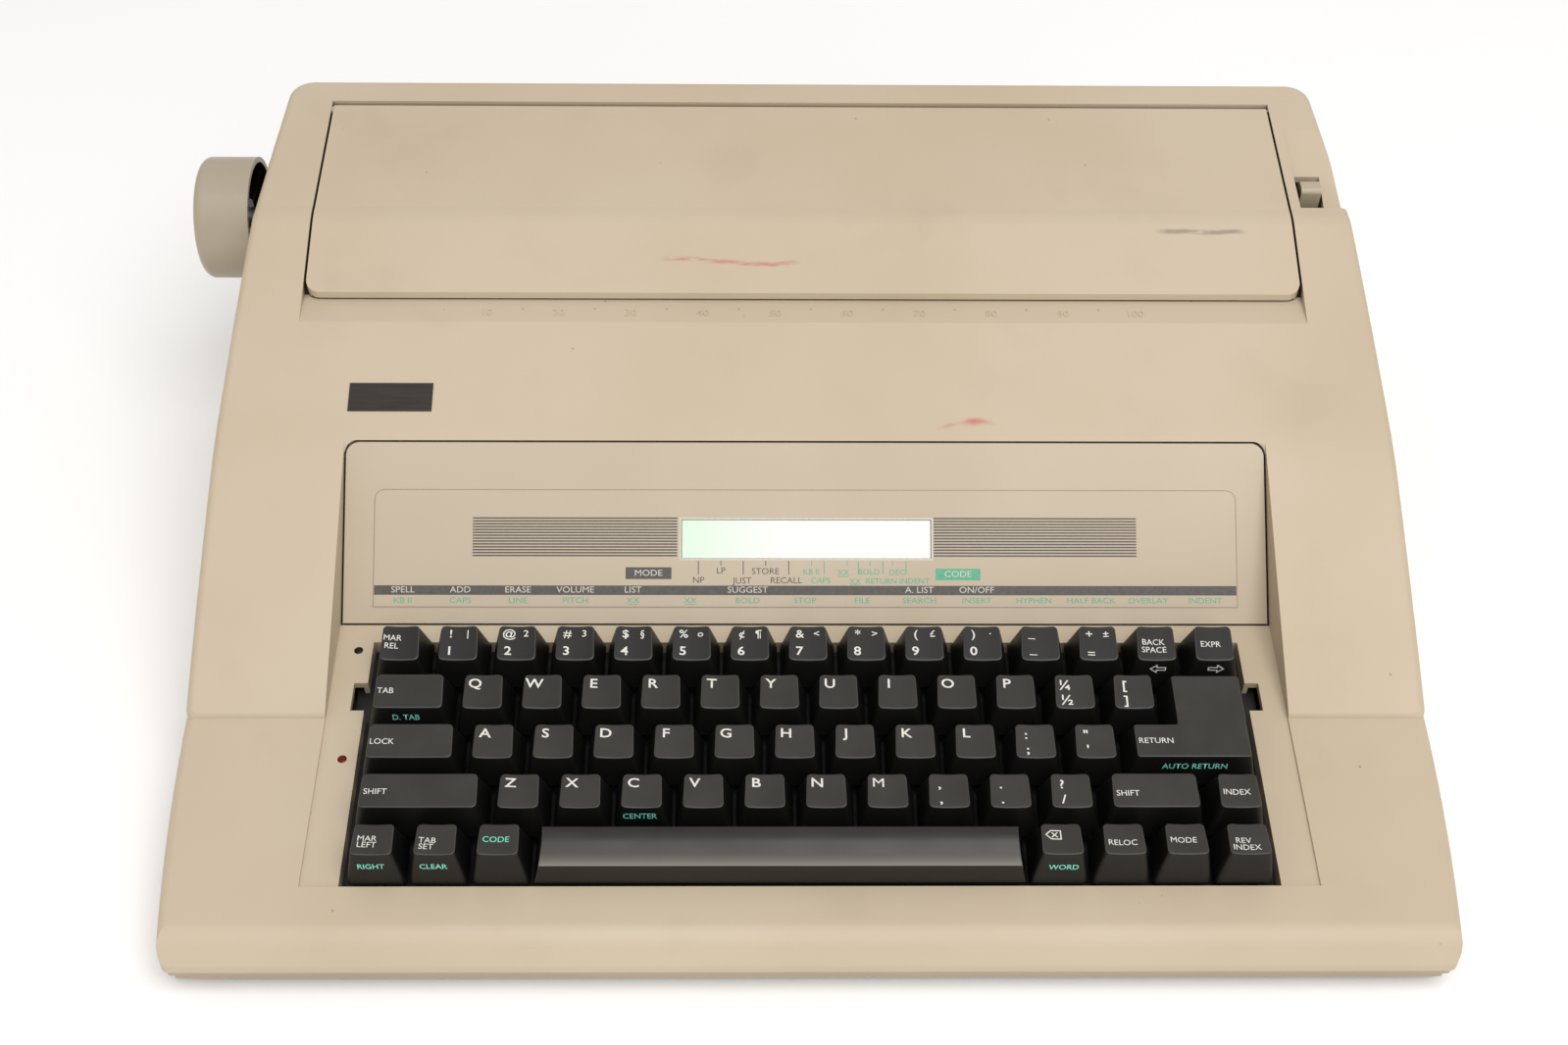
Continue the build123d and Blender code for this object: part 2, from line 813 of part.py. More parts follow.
def make_keyboard_plate():
    """The black plate under the keys with a guide chimney for every stem."""
    length = well_rear_s - well_front_s + 2 * plate_margin
    middle = (well_rear_s + well_front_s) / 2
    sheet = Box(2 * (well_half_width + plate_margin), length, plate_thickness)
    plate = Pos(0, middle, plate_top_h - plate_thickness / 2) * sheet
    inner = stem_size + 2 * stem_clearance
    outer = inner + 2 * chimney_wall
    chimney = Box(outer, outer, chimney_height + plate_thickness)
    hole = Box(inner, inner, 20)
    centre_h = plate_top_h + (chimney_height - plate_thickness) / 2
    places = [Pos(x, s, centre_h) for x, s in stem_places()]
    plate += [place * chimney for place in places]
    plate -= [place * hole for place in places]
    return deck_plane * plate


def make_switch_board():
    """The circuit board below the key stems, hung from the plate by standoffs."""
    length = well_rear_s - well_front_s + 2 * board_margin
    middle = (well_rear_s + well_front_s) / 2
    top = plate_top_h - plate_thickness - board_gap
    board = Pos(0, middle, top - board_thickness / 2) * Box(2 * well_half_width, length, board_thickness)
    for x in (-standoff_x, standoff_x):
        for s in (well_front_s + 4, middle, well_rear_s - 4):
            board += Pos(x, s, top + board_gap / 2) * Cylinder(standoff_radius, board_gap)
    return deck_plane * board


def make_indicators():
    """Two small indicator lamps beside the well."""
    lamp = Cylinder(indicator_radius, indicator_length)
    middle = indicator_rise - recess_depth - indicator_length / 2
    return [deck_plane * (Pos(indicator_x, s, middle) * lamp) for s in indicator_places]


def make_lower_case():
    """The base tray with its locating lip, screw posts and floor vents."""
    lip_inset = wall + tray_gap
    height = rim_z - foot_height
    sharp = Pos(0, 0, foot_height) * extrude(plan_face(tray_inset, corners=False), amount=height)
    sharp = chamfer(sharp.edges().group_by(Axis.Z)[0], tray_chamfer)
    tray = sharp & Pos(0, 0, foot_height) * extrude(plan_face(tray_inset), amount=height)
    tray += Pos(0, 0, foot_height) * extrude(plan_face(lip_inset), amount=rim_z + tray_lip - foot_height)
    tray -= Pos(0, 0, floor_z) * extrude(plan_face(lip_inset + wall), amount=above_case)
    for x, y in screw_places():
        tray += rod_z(x, y, foot_height + 1, boss_foot_z, boss_radius)
        tray -= rod_z(x, y, 0, 2 * boss_foot_z, screw_radius + screw_clearance)
        tray -= rod_z(x, y, 0, screw_seat_z, screw_head_radius + screw_clearance)
    slot = Box(floor_vent_length, floor_vent_width, 4 * floor_z)
    for column in range(floor_vent_columns):
        x = (column - (floor_vent_columns - 1) / 2) * floor_vent_pitch_x
        for line in range(floor_vent_lines):
            tray -= Pos(x, floor_vent_front_y + line * floor_vent_pitch_y, 0) * slot
    return tray


def make_feet():
    """Four rubber feet under the base tray."""
    points = [(0, 0), (foot_radius - 1.5, 0), (foot_radius, foot_height), (0, foot_height)]
    foot = revolve(Plane.XZ * make_face(Polyline(*points, close=True)), Axis.Z)
    return [Pos(x, y, 0) * foot for x in (-foot_x, foot_x) for y in (-foot_y, foot_y)]


def make_screws():
    """Screws that join base tray and upper case, with their heads in the tray."""
    screw = rod_z(0, 0, screw_seat_z, boss_foot_z + 5, screw_radius)
    screw += rod_z(0, 0, screw_head_z, screw_seat_z, screw_head_radius)
    return [Pos(x, y, 0) * screw for x, y in screw_places()]


def make_lid():
    """The lid over the printing works, with skirts, rounded front corners and hinge pins."""
    half = lid_half_width
    skin = side_prism(top_profile(), -half, half)
    skin &= block(-half, half, lid_front_y, hinge_y, opening_floor_z, above_case)
    skin -= side_prism(offset(top_profile(), amount=-lid_skirt_depth), -half, half)
    inner = half - lid_skirt_wall
    skin -= side_prism(offset(top_profile(), amount=-lid_thickness), -inner, inner)
    lip_z = slope_z(lid_front_y) - lid_lip
    skin -= block(-half - 1, half + 1, lid_front_y - 1, scoop_rear_y + 1, opening_floor_z, lip_z)
    front_edges = [e for e in skin.edges() if abs(e.center().Y - lid_front_y) < 0.6]
    upright = [e for e in front_edges if e.bounding_box().size.Z > 1 and abs(e.center().X) > half - 0.1]
    skin = fillet(upright, lid_corner_radius)
    skin += rod_x(-half, half, hinge_y, hinge_z(), hinge_below_top)
    reach = half + hinge_pin_length
    return skin + rod_x(-reach, reach, hinge_y, hinge_z(), hinge_pin_radius)


def gear_face(teeth):
    """Outline of a spur gear, with teeth a little thinner than their gaps."""
    pitch = gear_module * teeth / 2
    tip = pitch + gear_module * 0.9
    root = pitch - gear_module * 1.15
    step = 2 * math.pi / teeth
    points = []
    for number in range(teeth):
        for radius, share in ((root, -0.30), (tip, -0.11), (tip, 0.11), (root, 0.30)):
            angle = (number + share) * step
            points.append((radius * math.cos(angle), radius * math.sin(angle)))
    return make_face(Polyline(*points, close=True))


def make_gear(teeth, y, z, turn, bore):
    """A spur gear across X, turned by turn degrees, with a bore if it has one."""
    blank = extrude(gear_face(teeth), amount=gear_width)
    if bore:
        blank -= Cylinder(bore, 4 * gear_width)
    return Pos(gear_x, y, z) * Plane.YZ.location * Rot(0, 0, turn) * blank


def meshing_turn(turn, teeth, next_teeth, direction):
    """Turn of the next gear, which lies in the given direction, so that its gaps meet the teeth."""
    ahead = (turn - direction) % (360 / teeth)
    return direction + 180 + (180 - ahead * teeth) / next_teeth


def centre_along(y, z, distance, direction):
    """The point at a distance and direction, in degrees, in the Y and Z plane."""
    angle = math.radians(direction)
    return y + distance * math.cos(angle), z + distance * math.sin(angle)


idler_distance = gear_module * (platen_teeth + idler_teeth) / 2 + gear_backlash
idler_y, idler_z = centre_along(platen_y, platen_z, idler_distance, idler_direction)
idler_bore = idler_pin_radius + shaft_clearance
idler_turn = meshing_turn(idler_direction, platen_teeth, idler_teeth, idler_direction)
pinion_distance = gear_module * (idler_teeth + pinion_teeth) / 2 + gear_backlash
pinion_y, pinion_z = centre_along(idler_y, idler_z, pinion_distance, pinion_direction)
pinion_turn = meshing_turn(idler_turn, idler_teeth, pinion_teeth, pinion_direction)
frame_outer_x = side_frame_x + side_frame_thickness
gear_x = -frame_outer_x - 2.5 - gear_width
feed_distance = platen_radius + feed_roller_radius + roller_gap
feed_y, feed_z = centre_along(platen_y, platen_z, feed_distance, feed_direction)
bail_distance = platen_radius + bail_roller_radius + roller_gap
bail_y, bail_z = centre_along(platen_y, platen_z, bail_distance, bail_direction)
wheel_y = platen_y - platen_radius - wheel_gap - wheel_thickness
wheel_z = platen_z - wheel_drop
wheel_motor_y = wheel_y - 3.5


def make_side_frame(side):
    """A steel side frame that carries the platen, rails and bail."""
    low = pan_z + frame_flange_thickness
    front_y = pan_front_y + 4
    rear_y = pan_rear_y - 2
    points = [
        (front_y, low),
        (rear_y, low),
        (rear_y, platen_z - 24),
        (platen_y + 20, platen_z + 8),
        (platen_y + 6, platen_z + 14),
        (platen_y - 14, platen_z + 15),
        (platen_y - 27, platen_z + 10),
        (platen_y - 34, platen_z - 4),
        (platen_y - 68, platen_z - 14),
    ]
    rounds = [(2, 8), (3, 8), (4, 5), (5, 5), (6, 5), (7, 5), (8, 4)]
    inner, outer = sorted((side * side_frame_x, side * frame_outer_x))
    plate = side_prism(rounded_face(points, rounds), inner, outer)
    flange_inner = side * (side_frame_x - frame_flange)
    plate += block(min(inner, flange_inner), max(outer, flange_inner), front_y, rear_y, pan_z, low)
    holes = [
        (platen_y, platen_z, shaft_radius + shaft_clearance),
        (feed_y, feed_z, feed_shaft_radius + shaft_clearance),
        (*bail_pivot, bail_pivot_radius + shaft_clearance),
        (main_rail_y, main_rail_z, main_rail_radius),
        (front_rail_y, front_rail_z, front_rail_radius),
    ]
    if side < 0:
        holes.append((pinion_y, pinion_z, 2 * motor_shaft_radius))
        plate += rod_x(gear_x - 1, inner, idler_y, idler_z, idler_pin_radius)
    else:
        holes.append((lever_y, lever_z, lever_pin_radius + shaft_clearance))
    for y, z, radius in holes:
        plate -= rod_x(inner - 1, outer + 1, y, z, radius)
    return plate


def make_chassis():
    """The steel base pan of the printing works, with the idler pulley's pin and the belt rest."""
    edge = side_frame_x + pan_margin
    pan = block(-edge, edge, pan_front_y, pan_rear_y, pan_z - pan_sheet, pan_z)
    pan += block(-edge, edge, pan_front_y, pan_front_y + pan_sheet, pan_z, pan_z + 6)
    window = Box(pan_window, pan_window, 4 * pan_sheet)
    for number in (-1, 0, 1):
        pan -= Pos(number * pan_window_pitch, platen_y + 10, pan_z) * window
    for x in (-pulley_x, pulley_x):
        for y in (pan_front_y + 6, pan_rear_y - 6):
            pan += rod_z(x, y, floor_z, pan_z, boss_radius)
    pulley_low = belt_z - pulley_width / 2
    pan += rod_z(-pulley_x, belt_y, pan_z, pulley_low - belt_gap, 2 * pulley_pin_radius)
    pan += rod_z(-pulley_x, belt_y, pan_z, pulley_low + pulley_width + 1, pulley_pin_radius)
    rest_x = -pulley_x + 2 * pulley_radius
    reach = pulley_radius + belt_thickness + 1
    rest = block(rest_x - 3, rest_x, belt_y - reach, belt_y + reach, pan_z, belt_z - belt_width / 2)
    return pan + rest


def make_rails():
    """The two carriage rails."""
    return [
        rod_x(-frame_outer_x, frame_outer_x, main_rail_y, main_rail_z, main_rail_radius),
        rod_x(-frame_outer_x, frame_outer_x, front_rail_y, front_rail_z, front_rail_radius),
    ]


def make_platen_roller():
    """The rubber sleeve of the platen."""
    sleeve = rod_x(-platen_half_length, platen_half_length, platen_y, platen_z, platen_radius)
    return sleeve - rod_x(-beyond_case, beyond_case, platen_y, platen_z, shaft_radius)


def make_platen_shaft():
    """The steel shaft through platen, gear and knob."""
    return rod_x(knob_inner_x - knob_length + 6, side_frame_x + 6, platen_y, platen_z, shaft_radius)


def make_platen_knob():
    """The left knob: a cup with a rounded rim, open towards the case, with a hub and ribs."""
    inside = knob_radius - knob_skin
    cup = [
        (0, 0),
        (0, knob_radius),
        (knob_length, knob_radius),
        (knob_length, inside),
        (knob_skin + 1, inside),
        (knob_skin + 1, 0),
    ]
    knob = revolve(rounded_face(cup, [(1, knob_edge_radius)]), Axis.X)
    middle = Pos(knob_length / 2 - 2, 0, 0)
    knob += middle * Rot(0, 90, 0) * Cylinder(shaft_radius + 3, knob_length - 4)
    for number in range(4):
        knob += Rot(45 * number, 0, 0) * middle * Box(knob_length - 6, 2 * inside + 0.5, 1.6)
    knob -= Pos(6 + knob_length / 2, 0, 0) * Rot(0, 90, 0) * Cylinder(shaft_radius, knob_length)
    return Pos(knob_inner_x - knob_length, platen_y, platen_z) * knob


def make_pinion():
    """The pinion on the line feed motor's shaft."""
    gear = make_gear(pinion_teeth, pinion_y, pinion_z, pinion_turn, 0)
    shaft_end = -side_frame_x + motor_length / 2
    return gear + rod_x(gear_x, shaft_end, pinion_y, pinion_z, motor_shaft_radius)


def make_line_feed_motor():
    """The step motor that turns the platen through the gears."""
    end = motor_length - side_frame_x
    body = rod_x(-side_frame_x, end, pinion_y, pinion_z, motor_radius)
    bore = motor_shaft_radius + shaft_clearance
    return body - rod_x(-side_frame_x, end - motor_length / 2 + 1, pinion_y, pinion_z, bore)


def make_feed_rollers():
    """Pressure rollers on their shaft below the platen."""
    shaft = rod_x(-frame_outer_x, frame_outer_x, feed_y, feed_z, feed_shaft_radius)
    half = feed_roller_length / 2
    for number in range(4):
        x = (number - 1.5) * feed_roller_pitch
        shaft += rod_x(x - half, x + half, feed_y, feed_z, feed_roller_radius)
    return shaft


def make_paper_pan():
    """The curved steel pan behind the platen and the guide that rises from it."""
    inner = platen_radius + pan_gap
    outer = inner + pan_thickness
    half = platen_half_length - 2
    wedge = make_face(Polyline((0, 0), (30, -52), (60, 0), (30, 20), close=True))
    arc = Pos(platen_y, platen_z) * ((Circle(outer) - Circle(inner)) & wedge)
    start_y, start_z = centre_along(platen_y, platen_z, inner, 33)
    guide = [
        (start_y, start_z),
        (start_y + pan_thickness, start_z - 0.4),
        (start_y + 11, start_z + 9),
        (start_y + 10.2, start_z + 9.4),
    ]
    pan = side_prism(arc, -half, half)
    pan += side_prism(make_face(Polyline(*guide, close=True)), -half, half)
    tab_y = platen_y + inner + pan_thickness / 2
    for side in (-1, 1):
        low, high = sorted((side * half, side * side_frame_x))
        pan += block(low, high, tab_y - 0.4, tab_y + 0.4, platen_z - 6, platen_z + 6)
    return pan


def make_paper_bail():
    """The bail rod with its two arms, pivoted in the side frames."""
    bail = rod_x(-bail_half_length, bail_half_length, bail_y, bail_z, bail_rod_radius)
    pivot_y, pivot_z = bail_pivot
    points = [
        (pivot_y - 4, pivot_z - 3),
        (pivot_y + 4, pivot_z - 3),
        (bail_y + 3, bail_z + 2.5),
        (bail_y - 3, bail_z + 2),
    ]
    face = rounded_face(points, [(0, 2.5), (1, 2.5), (2, 2), (3, 2)])
    for side in (-1, 1):
        low, high = sorted((side * (bail_half_length + bail_arm_width), side * bail_half_length))
        bail += side_prism(face, low, high)
        low, high = sorted((side * bail_half_length, side * frame_outer_x))
        bail += rod_x(low, high, pivot_y, pivot_z, bail_pivot_radius)
    return bail


def make_bail_rollers():
    """Three rubber rollers that turn on the bail rod."""
    rollers = []
    half = bail_roller_length / 2
    bore = bail_rod_radius + shaft_clearance
    for x in (-bail_roller_pitch, 0, bail_roller_pitch):
        roller = rod_x(x - half, x + half, bail_y, bail_z, bail_roller_radius)
        rollers.append(roller - rod_x(x - 2 * half, x + 2 * half, bail_y, bail_z, bore))
    return rollers


def make_release_lever():
    """The paper release lever: hub, pin, arm and the curved thumb tab in the pocket."""
    inner = slot_inner_x + 0.8
    outer = slot_outer_x - 1.2
    tab_z = plateau_z(lever_y) - 0.6
    arm = [
        (lever_y - 3, lever_z),
        (lever_y + 3, lever_z),
        (lever_y + 1.5, tab_z),
        (lever_y - 5.5, tab_z - 1.0),
    ]
    lever = rod_x(inner, outer, lever_y, lever_z, lever_hub_radius)
    lever += side_prism(rounded_face(arm, [(2, 3.0), (3, 2.0)]), inner, outer)
    return lever + rod_x(side_frame_x, inner, lever_y, lever_z, lever_pin_radius)


def make_carriage():
    """The carriage frame: rail bushes, floor, cheeks that bear the cassette, and the belt clamp."""
    half = carriage_half_width
    floor_high = main_rail_z + 2 * carriage_plate
    front = front_rail_y - 6
    frame = block(-half, half, main_rail_y - 9, main_rail_y + 9, main_rail_z - 8, floor_high)
    frame += block(-half, half, front, main_rail_y, floor_high - carriage_plate, floor_high)
    frame += block(-half, half, front, front + carriage_plate, floor_high - carriage_plate, front_rail_z)
    frame += block(-half, half, front, front_rail_y + 6, front_rail_z - 7, front_rail_z + 7)
    rise = math.tan(math.radians(cassette_tilt))
    cheek_rear = main_rail_y + 10
    cheek = [
        (front, floor_high),
        (main_rail_y + 9, floor_high),
        (cheek_rear, cassette_z + rise * (cheek_rear - cassette_y)),
        (cassette_y, cassette_z),
    ]
    for side in (-1, 1):
        low, high = sorted((side * bracket_half_width, side * half))
        frame += side_prism(make_face(Polyline(*cheek, close=True)), low, high)
    reach = pulley_radius + belt_thickness + belt_gap
    height = belt_width / 2 + belt_gap
    frame -= block(-2 * half, 2 * half, belt_y - reach, belt_y + reach, belt_z - height, belt_z + height)
    run_y = belt_y + pulley_radius + belt_gap
    clamp_y = (run_y - 1.3, run_y + belt_thickness + 0.7)
    frame += block(-8, 8, *clamp_y, floor_high, belt_z + height + 1.5)
    frame -= block(-9, 9, run_y - belt_gap, belt_y + reach, belt_z - height, belt_z + height)
    rear_bore = main_rail_radius + rail_clearance
    front_bore = front_rail_radius + rail_clearance
    frame -= rod_x(-2 * half, 2 * half, main_rail_y, main_rail_z, rear_bore)
    return frame - rod_x(-2 * half, 2 * half, front_rail_y, front_rail_z, front_bore)


def make_wheel_motor():
    """The motor that turns the print wheel, on its bracket between the cheeks."""
    body = rod_y(0, wheel_motor_y - wheel_motor_length, wheel_motor_y, wheel_z, wheel_motor_radius)
    low = main_rail_z + 2 * carriage_plate
    half = bracket_half_width
    body += block(-half, half, wheel_motor_y - 18, wheel_motor_y - 16, low, wheel_z + 12)
    bore = wheel_shaft_radius + shaft_clearance
    return body - rod_y(0, wheel_motor_y - 12, wheel_motor_y + 2, wheel_z, bore)


def make_print_wheel():
    """The print wheel: a hub with a ring of springy petals, each ending in a slug."""
    step = 2 * math.pi / petal_count
    root = wheel_hub_radius + 2
    neck = wheel_radius - slug_height
    points = []
    for number in range(petal_count):
        half_petal = [
            (wheel_hub_radius, 0.45 * step),
            (root, petal_half_width / root),
            (neck, petal_half_width / wheel_radius),
            (neck, slug_half_width / wheel_radius),
            (wheel_radius, slug_half_width / wheel_radius),
        ]
        corners = [(radius, -angle) for radius, angle in half_petal] + half_petal[::-1]
        for radius, angle in corners:
            turned = number * step + angle
            points.append((radius * math.cos(turned), radius * math.sin(turned)))
    disc = extrude(make_face(Polyline(*points, close=True)), amount=wheel_thickness)
    disc += Pos(0, 0, -1.2) * Cylinder(wheel_hub_radius - 1, 2.4)
    disc += Pos(0, 0, -6) * Cylinder(wheel_shaft_radius, 12)
    return Pos(0, wheel_y, wheel_z) * Rot(-90, 0, 0) * disc


def make_hammer():
    """The print hammer's solenoid on the wheel motor, with its striker."""
    rear = wheel_y - 7
    front = rear - hammer_length
    half = hammer_saddle_width / 2
    hammer = rod_y(0, front, rear, platen_z, hammer_radius)
    hammer += rod_y(0, rear, wheel_y - 0.8, platen_z, striker_radius)
    saddle = block(-half, half, front + 2, rear - 2, wheel_z, platen_z)
    return hammer + (saddle - rod_y(0, front, rear, wheel_z, wheel_motor_radius))


def make_ribbon_cassette():
    """The ribbon cassette: a notched case on the carriage with the ribbon across its arms."""
    half, notch, length = cassette_half_width, cassette_notch, cassette_length
    points = [
        (-half, 0), (half, 0), (half, length), (notch, length),
        (notch, 7), (-notch, 7), (-notch, length), (-half, length),
    ]
    case = extrude(rounded_face(points, [(0, 6), (1, 6), (2, 6), (7, 6)]), amount=cassette_height)
    case = Pos(0, cassette_y, cassette_z) * Rot(cassette_tilt, 0, 0) * case
    arm_end = platen_y - platen_radius - 1
    ribbon_top = platen_z + 3.7
    for side in (-1, 1):
        low, high = sorted((side * ribbon_arm_x, side * (ribbon_arm_x + 3)))
        case += block(low, high, cassette_y + 22, arm_end, ribbon_top, ribbon_top + 4)
        case += block(low, high, arm_end - 3, arm_end, ribbon_top - ribbon_height, ribbon_top)
    ribbon_foot = ribbon_top - ribbon_height
    return case + block(-ribbon_arm_x, ribbon_arm_x, arm_end - 0.4, arm_end, ribbon_foot, ribbon_top)


def make_carriage_motor():
    """The motor that draws the carriage along by its belt."""
    high = belt_z - pulley_width / 2 - 1
    body = rod_z(pulley_x, belt_y, pan_z, high, carriage_motor_radius)
    return body - rod_z(pulley_x, belt_y, high - 16, high, pulley_pin_radius + shaft_clearance)


def make_drive_belt():
    """The toothed belt that runs round both pulleys."""
    inner = pulley_radius + belt_gap
    loop = SlotCenterToCenter(2 * pulley_x, 2 * (inner + belt_thickness))
    loop -= SlotCenterToCenter(2 * pulley_x, 2 * inner)
    return Pos(0, belt_y, belt_z - belt_width / 2) * extrude(loop, amount=belt_width)


def make_pulley(side):
    """A belt pulley: the right one on the motor's shaft, the left one bored for its pin."""
    x = side * pulley_x
    low = belt_z - pulley_width / 2
    pulley = rod_z(x, belt_y, low, low + pulley_width, pulley_radius)
    if side < 0:
        return pulley - rod_z(x, belt_y, 0, above_case, pulley_pin_radius + shaft_clearance)
    return pulley + rod_z(x, belt_y, low - 15, low, pulley_pin_radius)


def make_main_board():
    """The main circuit board with its larger parts."""
    top = pan_z + board_thickness
    edge = main_board_half_depth
    board = block(main_board_left_x, main_board_right_x, -edge, edge, pan_z, top)
    chips = [(-60, -10, 40, 14, 4), (0, 0, 52, 14, 4), (60, 8, 36, 12, 4), (100, -20, 16, 16, 20)]
    for x, y, width, depth, height in chips:
        board += block(x - width / 2, x + width / 2, y - depth / 2, y + depth / 2, top, top + height)
    inset = main_board_hole_inset
    for x in (main_board_left_x + inset, main_board_right_x - inset):
        for y in (inset - edge, edge - inset):
            board += rod_z(x, y, floor_z, pan_z, 3)
    return board


def make_transformer():
    """The mains transformer: laminated core and two windings."""
    core = Box(core_width, core_depth, core_height) + Box(winding_width, winding_depth, winding_height)
    return Pos(transformer_x, transformer_y, floor_z + core_height / 2) * core


def socket_block(x, width, height, front, rear):
    """A block in the rear wall, centred on x and on the sockets' height."""
    return block(x - width / 2, x + width / 2, front, rear, socket_z - height / 2, socket_z + height / 2)


def make_inlet():
    """The moulded block in the rear wall: mains inlet with its contact pins, and the switch's housing."""
    front = half_depth - socket_depth
    rear = half_depth + socket_flange
    unit = socket_block(inlet_x, inlet_width, inlet_height, front, half_depth)
    unit += socket_block(switch_x, switch_width, switch_height, front, half_depth)
    low_x = switch_x - switch_width / 2 - socket_border
    high_x = inlet_x + inlet_width / 2 + socket_border
    half = switch_height / 2 + socket_border
    unit += block(low_x, high_x, half_depth, rear, socket_z - half, socket_z + half)
    hollow = 2 * socket_wall
    unit -= socket_block(inlet_x, inlet_width - hollow, inlet_height - hollow, front + 4, rear + 1)
    hollow = 2 * switch_wall
    unit -= socket_block(switch_x, switch_width - hollow, switch_height - hollow, front + 4, rear + 1)
    for side in (-1, 1):
        unit += rod_y(inlet_x + side * contact_x, front + 3.5, half_depth - 2, socket_z, contact_radius)
    pin = rocker_pin_radius + shaft_clearance
    half = switch_width / 2
    return unit - rod_x(switch_x - half, switch_x + half, rocker_y, socket_z, pin)


def make_rocker():
    """The rocker of the power switch, on pins in its housing."""
    high = switch_height / 2 - switch_wall - rocker_gap - 1.2
    rear = half_depth + socket_flange
    rocker = [
        (rocker_y - 3, socket_z - 3),
        (rear - 0.6, socket_z - high),
        (rear - 1.4, socket_z),
        (rear + rocker_rise, socket_z + high),
        (rocker_y - 3, socket_z + 3),
    ]
    half = switch_width / 2 - switch_wall - rocker_gap
    body = side_prism(make_face(Polyline(*rocker, close=True)), switch_x - half, switch_x + half)
    reach = switch_width / 2 - 0.2
    return body + rod_x(switch_x - reach, switch_x + reach, rocker_y, socket_z, rocker_pin_radius)


def group(pieces):
    """Several separate solids as one exported piece."""
    return Compound(children=[piece.solid() for piece in pieces])


nodes = {
    "upper_case": make_upper_case(),
    "lower_case": make_lower_case(),
    "display_panel": make_display_panel(),
    "lcd_module": make_lcd_module(),
    "keyboard_plate": make_keyboard_plate(),
    "key_switch_board": make_switch_board(),
    "indicator_lamps": group(make_indicators()),
    "rubber_feet": group(make_feet()),
    "case_screws": group(make_screws()),
    "main_board": make_main_board(),
    "power_transformer": make_transformer(),
    "chassis_pan": make_chassis(),
    "left_side_frame": make_side_frame(-1),
    "right_side_frame": make_side_frame(1),
    "carriage_rails": group(make_rails()),
    "lid": make_lid(),
    "platen_roller": make_platen_roller(),
    "platen_shaft": make_platen_shaft(),
    "platen_knob": make_platen_knob(),
    "platen_gear": make_gear(platen_teeth, platen_y, platen_z, idler_direction, shaft_radius),
    "idler_gear": make_gear(idler_teeth, idler_y, idler_z, idler_turn, idler_bore),
    "motor_pinion": make_pinion(),
    "line_feed_motor": make_line_feed_motor(),
    "feed_rollers": make_feed_rollers(),
    "paper_pan": make_paper_pan(),
    "paper_bail": make_paper_bail(),
    "bail_rollers": group(make_bail_rollers()),
    "release_lever": make_release_lever(),
    "carriage_frame": make_carriage(),
    "print_wheel_motor": make_wheel_motor(),
    "print_wheel": make_print_wheel(),
    "print_hammer": make_hammer(),
    "ribbon_cassette": make_ribbon_cassette(),
    "carriage_motor": make_carriage_motor(),
    "drive_belt": make_drive_belt(),
    "motor_pulley": make_pulley(1),
    "idler_pulley": make_pulley(-1),
    "mains_inlet": make_inlet(),
    "power_rocker": make_rocker(),
    "return_key": make_return_key(),
}
for name, start, width, row in function_keys:
    make = make_space_bar if name == "space_bar" else make_key
    nodes[name] = make(start, width, row)
for name, start, count, row in character_rows:
    nodes[name] = group([make_key(start + number, 1, row) for number in range(count)])

# The machine is moved so that its origin is below the middle of its length and of its depth
machine_left_x = knob_inner_x - knob_length
machine_rear_y = half_depth + socket_flange + rocker_rise
centred = Pos(-(half_width_widest + machine_left_x) / 2, -(machine_rear_y - half_depth) / 2, 0)

os.makedirs("parts", exist_ok=True)
for name, shape in nodes.items():
    solids = [centred * solid for solid in shape.solids()]
    whole = solids[0] if len(solids) == 1 else Compound(children=solids)
    export_step(whole, f"parts/{name}.step")
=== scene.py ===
# %% [markdown]
# # An electronic typewriter
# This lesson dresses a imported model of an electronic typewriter. The frame, the joints and the rigid pieces
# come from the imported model. Here the keys get their caps and legends, the panel gets its print, and every
# surface gets a finish. All sizes are in metres, and the object stands on the floor at Z = 0.

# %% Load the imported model
import json
import math

import bpy
from mathutils import Matrix, Vector


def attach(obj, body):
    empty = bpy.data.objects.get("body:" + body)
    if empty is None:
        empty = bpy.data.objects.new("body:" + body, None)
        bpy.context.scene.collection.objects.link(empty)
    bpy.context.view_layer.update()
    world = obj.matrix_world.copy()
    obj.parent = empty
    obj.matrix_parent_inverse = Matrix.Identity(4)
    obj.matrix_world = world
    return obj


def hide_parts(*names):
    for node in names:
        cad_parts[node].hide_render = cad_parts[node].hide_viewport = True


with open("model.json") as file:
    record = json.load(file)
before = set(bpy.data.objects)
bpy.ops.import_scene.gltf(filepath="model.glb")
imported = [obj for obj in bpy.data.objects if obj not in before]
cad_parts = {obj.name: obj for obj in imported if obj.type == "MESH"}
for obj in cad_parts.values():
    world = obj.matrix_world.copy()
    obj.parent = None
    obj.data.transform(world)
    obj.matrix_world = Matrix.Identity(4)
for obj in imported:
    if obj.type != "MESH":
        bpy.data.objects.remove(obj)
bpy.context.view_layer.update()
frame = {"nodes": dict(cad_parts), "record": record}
nodes = frame["nodes"]
MM = 0.001

# %% [markdown]
# Blender's operators act on what is selected, so each step first makes one object the only selected and
# active one. Faces, edges and points are picked by where they are, which is what a modeller does by eye.

# %% Select by place
def edit_mode():
    bpy.ops.object.mode_set(mode="EDIT")


def object_mode():
    bpy.ops.object.mode_set(mode="OBJECT")


def only(obj):
    """Make this object the only selected and active one."""
    if bpy.context.object and bpy.context.object.mode != "OBJECT":
        object_mode()
    bpy.ops.object.select_all(action="DESELECT")
    obj.select_set(True)
    bpy.context.view_layer.objects.active = obj


def select_all():
    """In edit mode, select the whole mesh."""
    bpy.ops.mesh.select_all(action="SELECT")


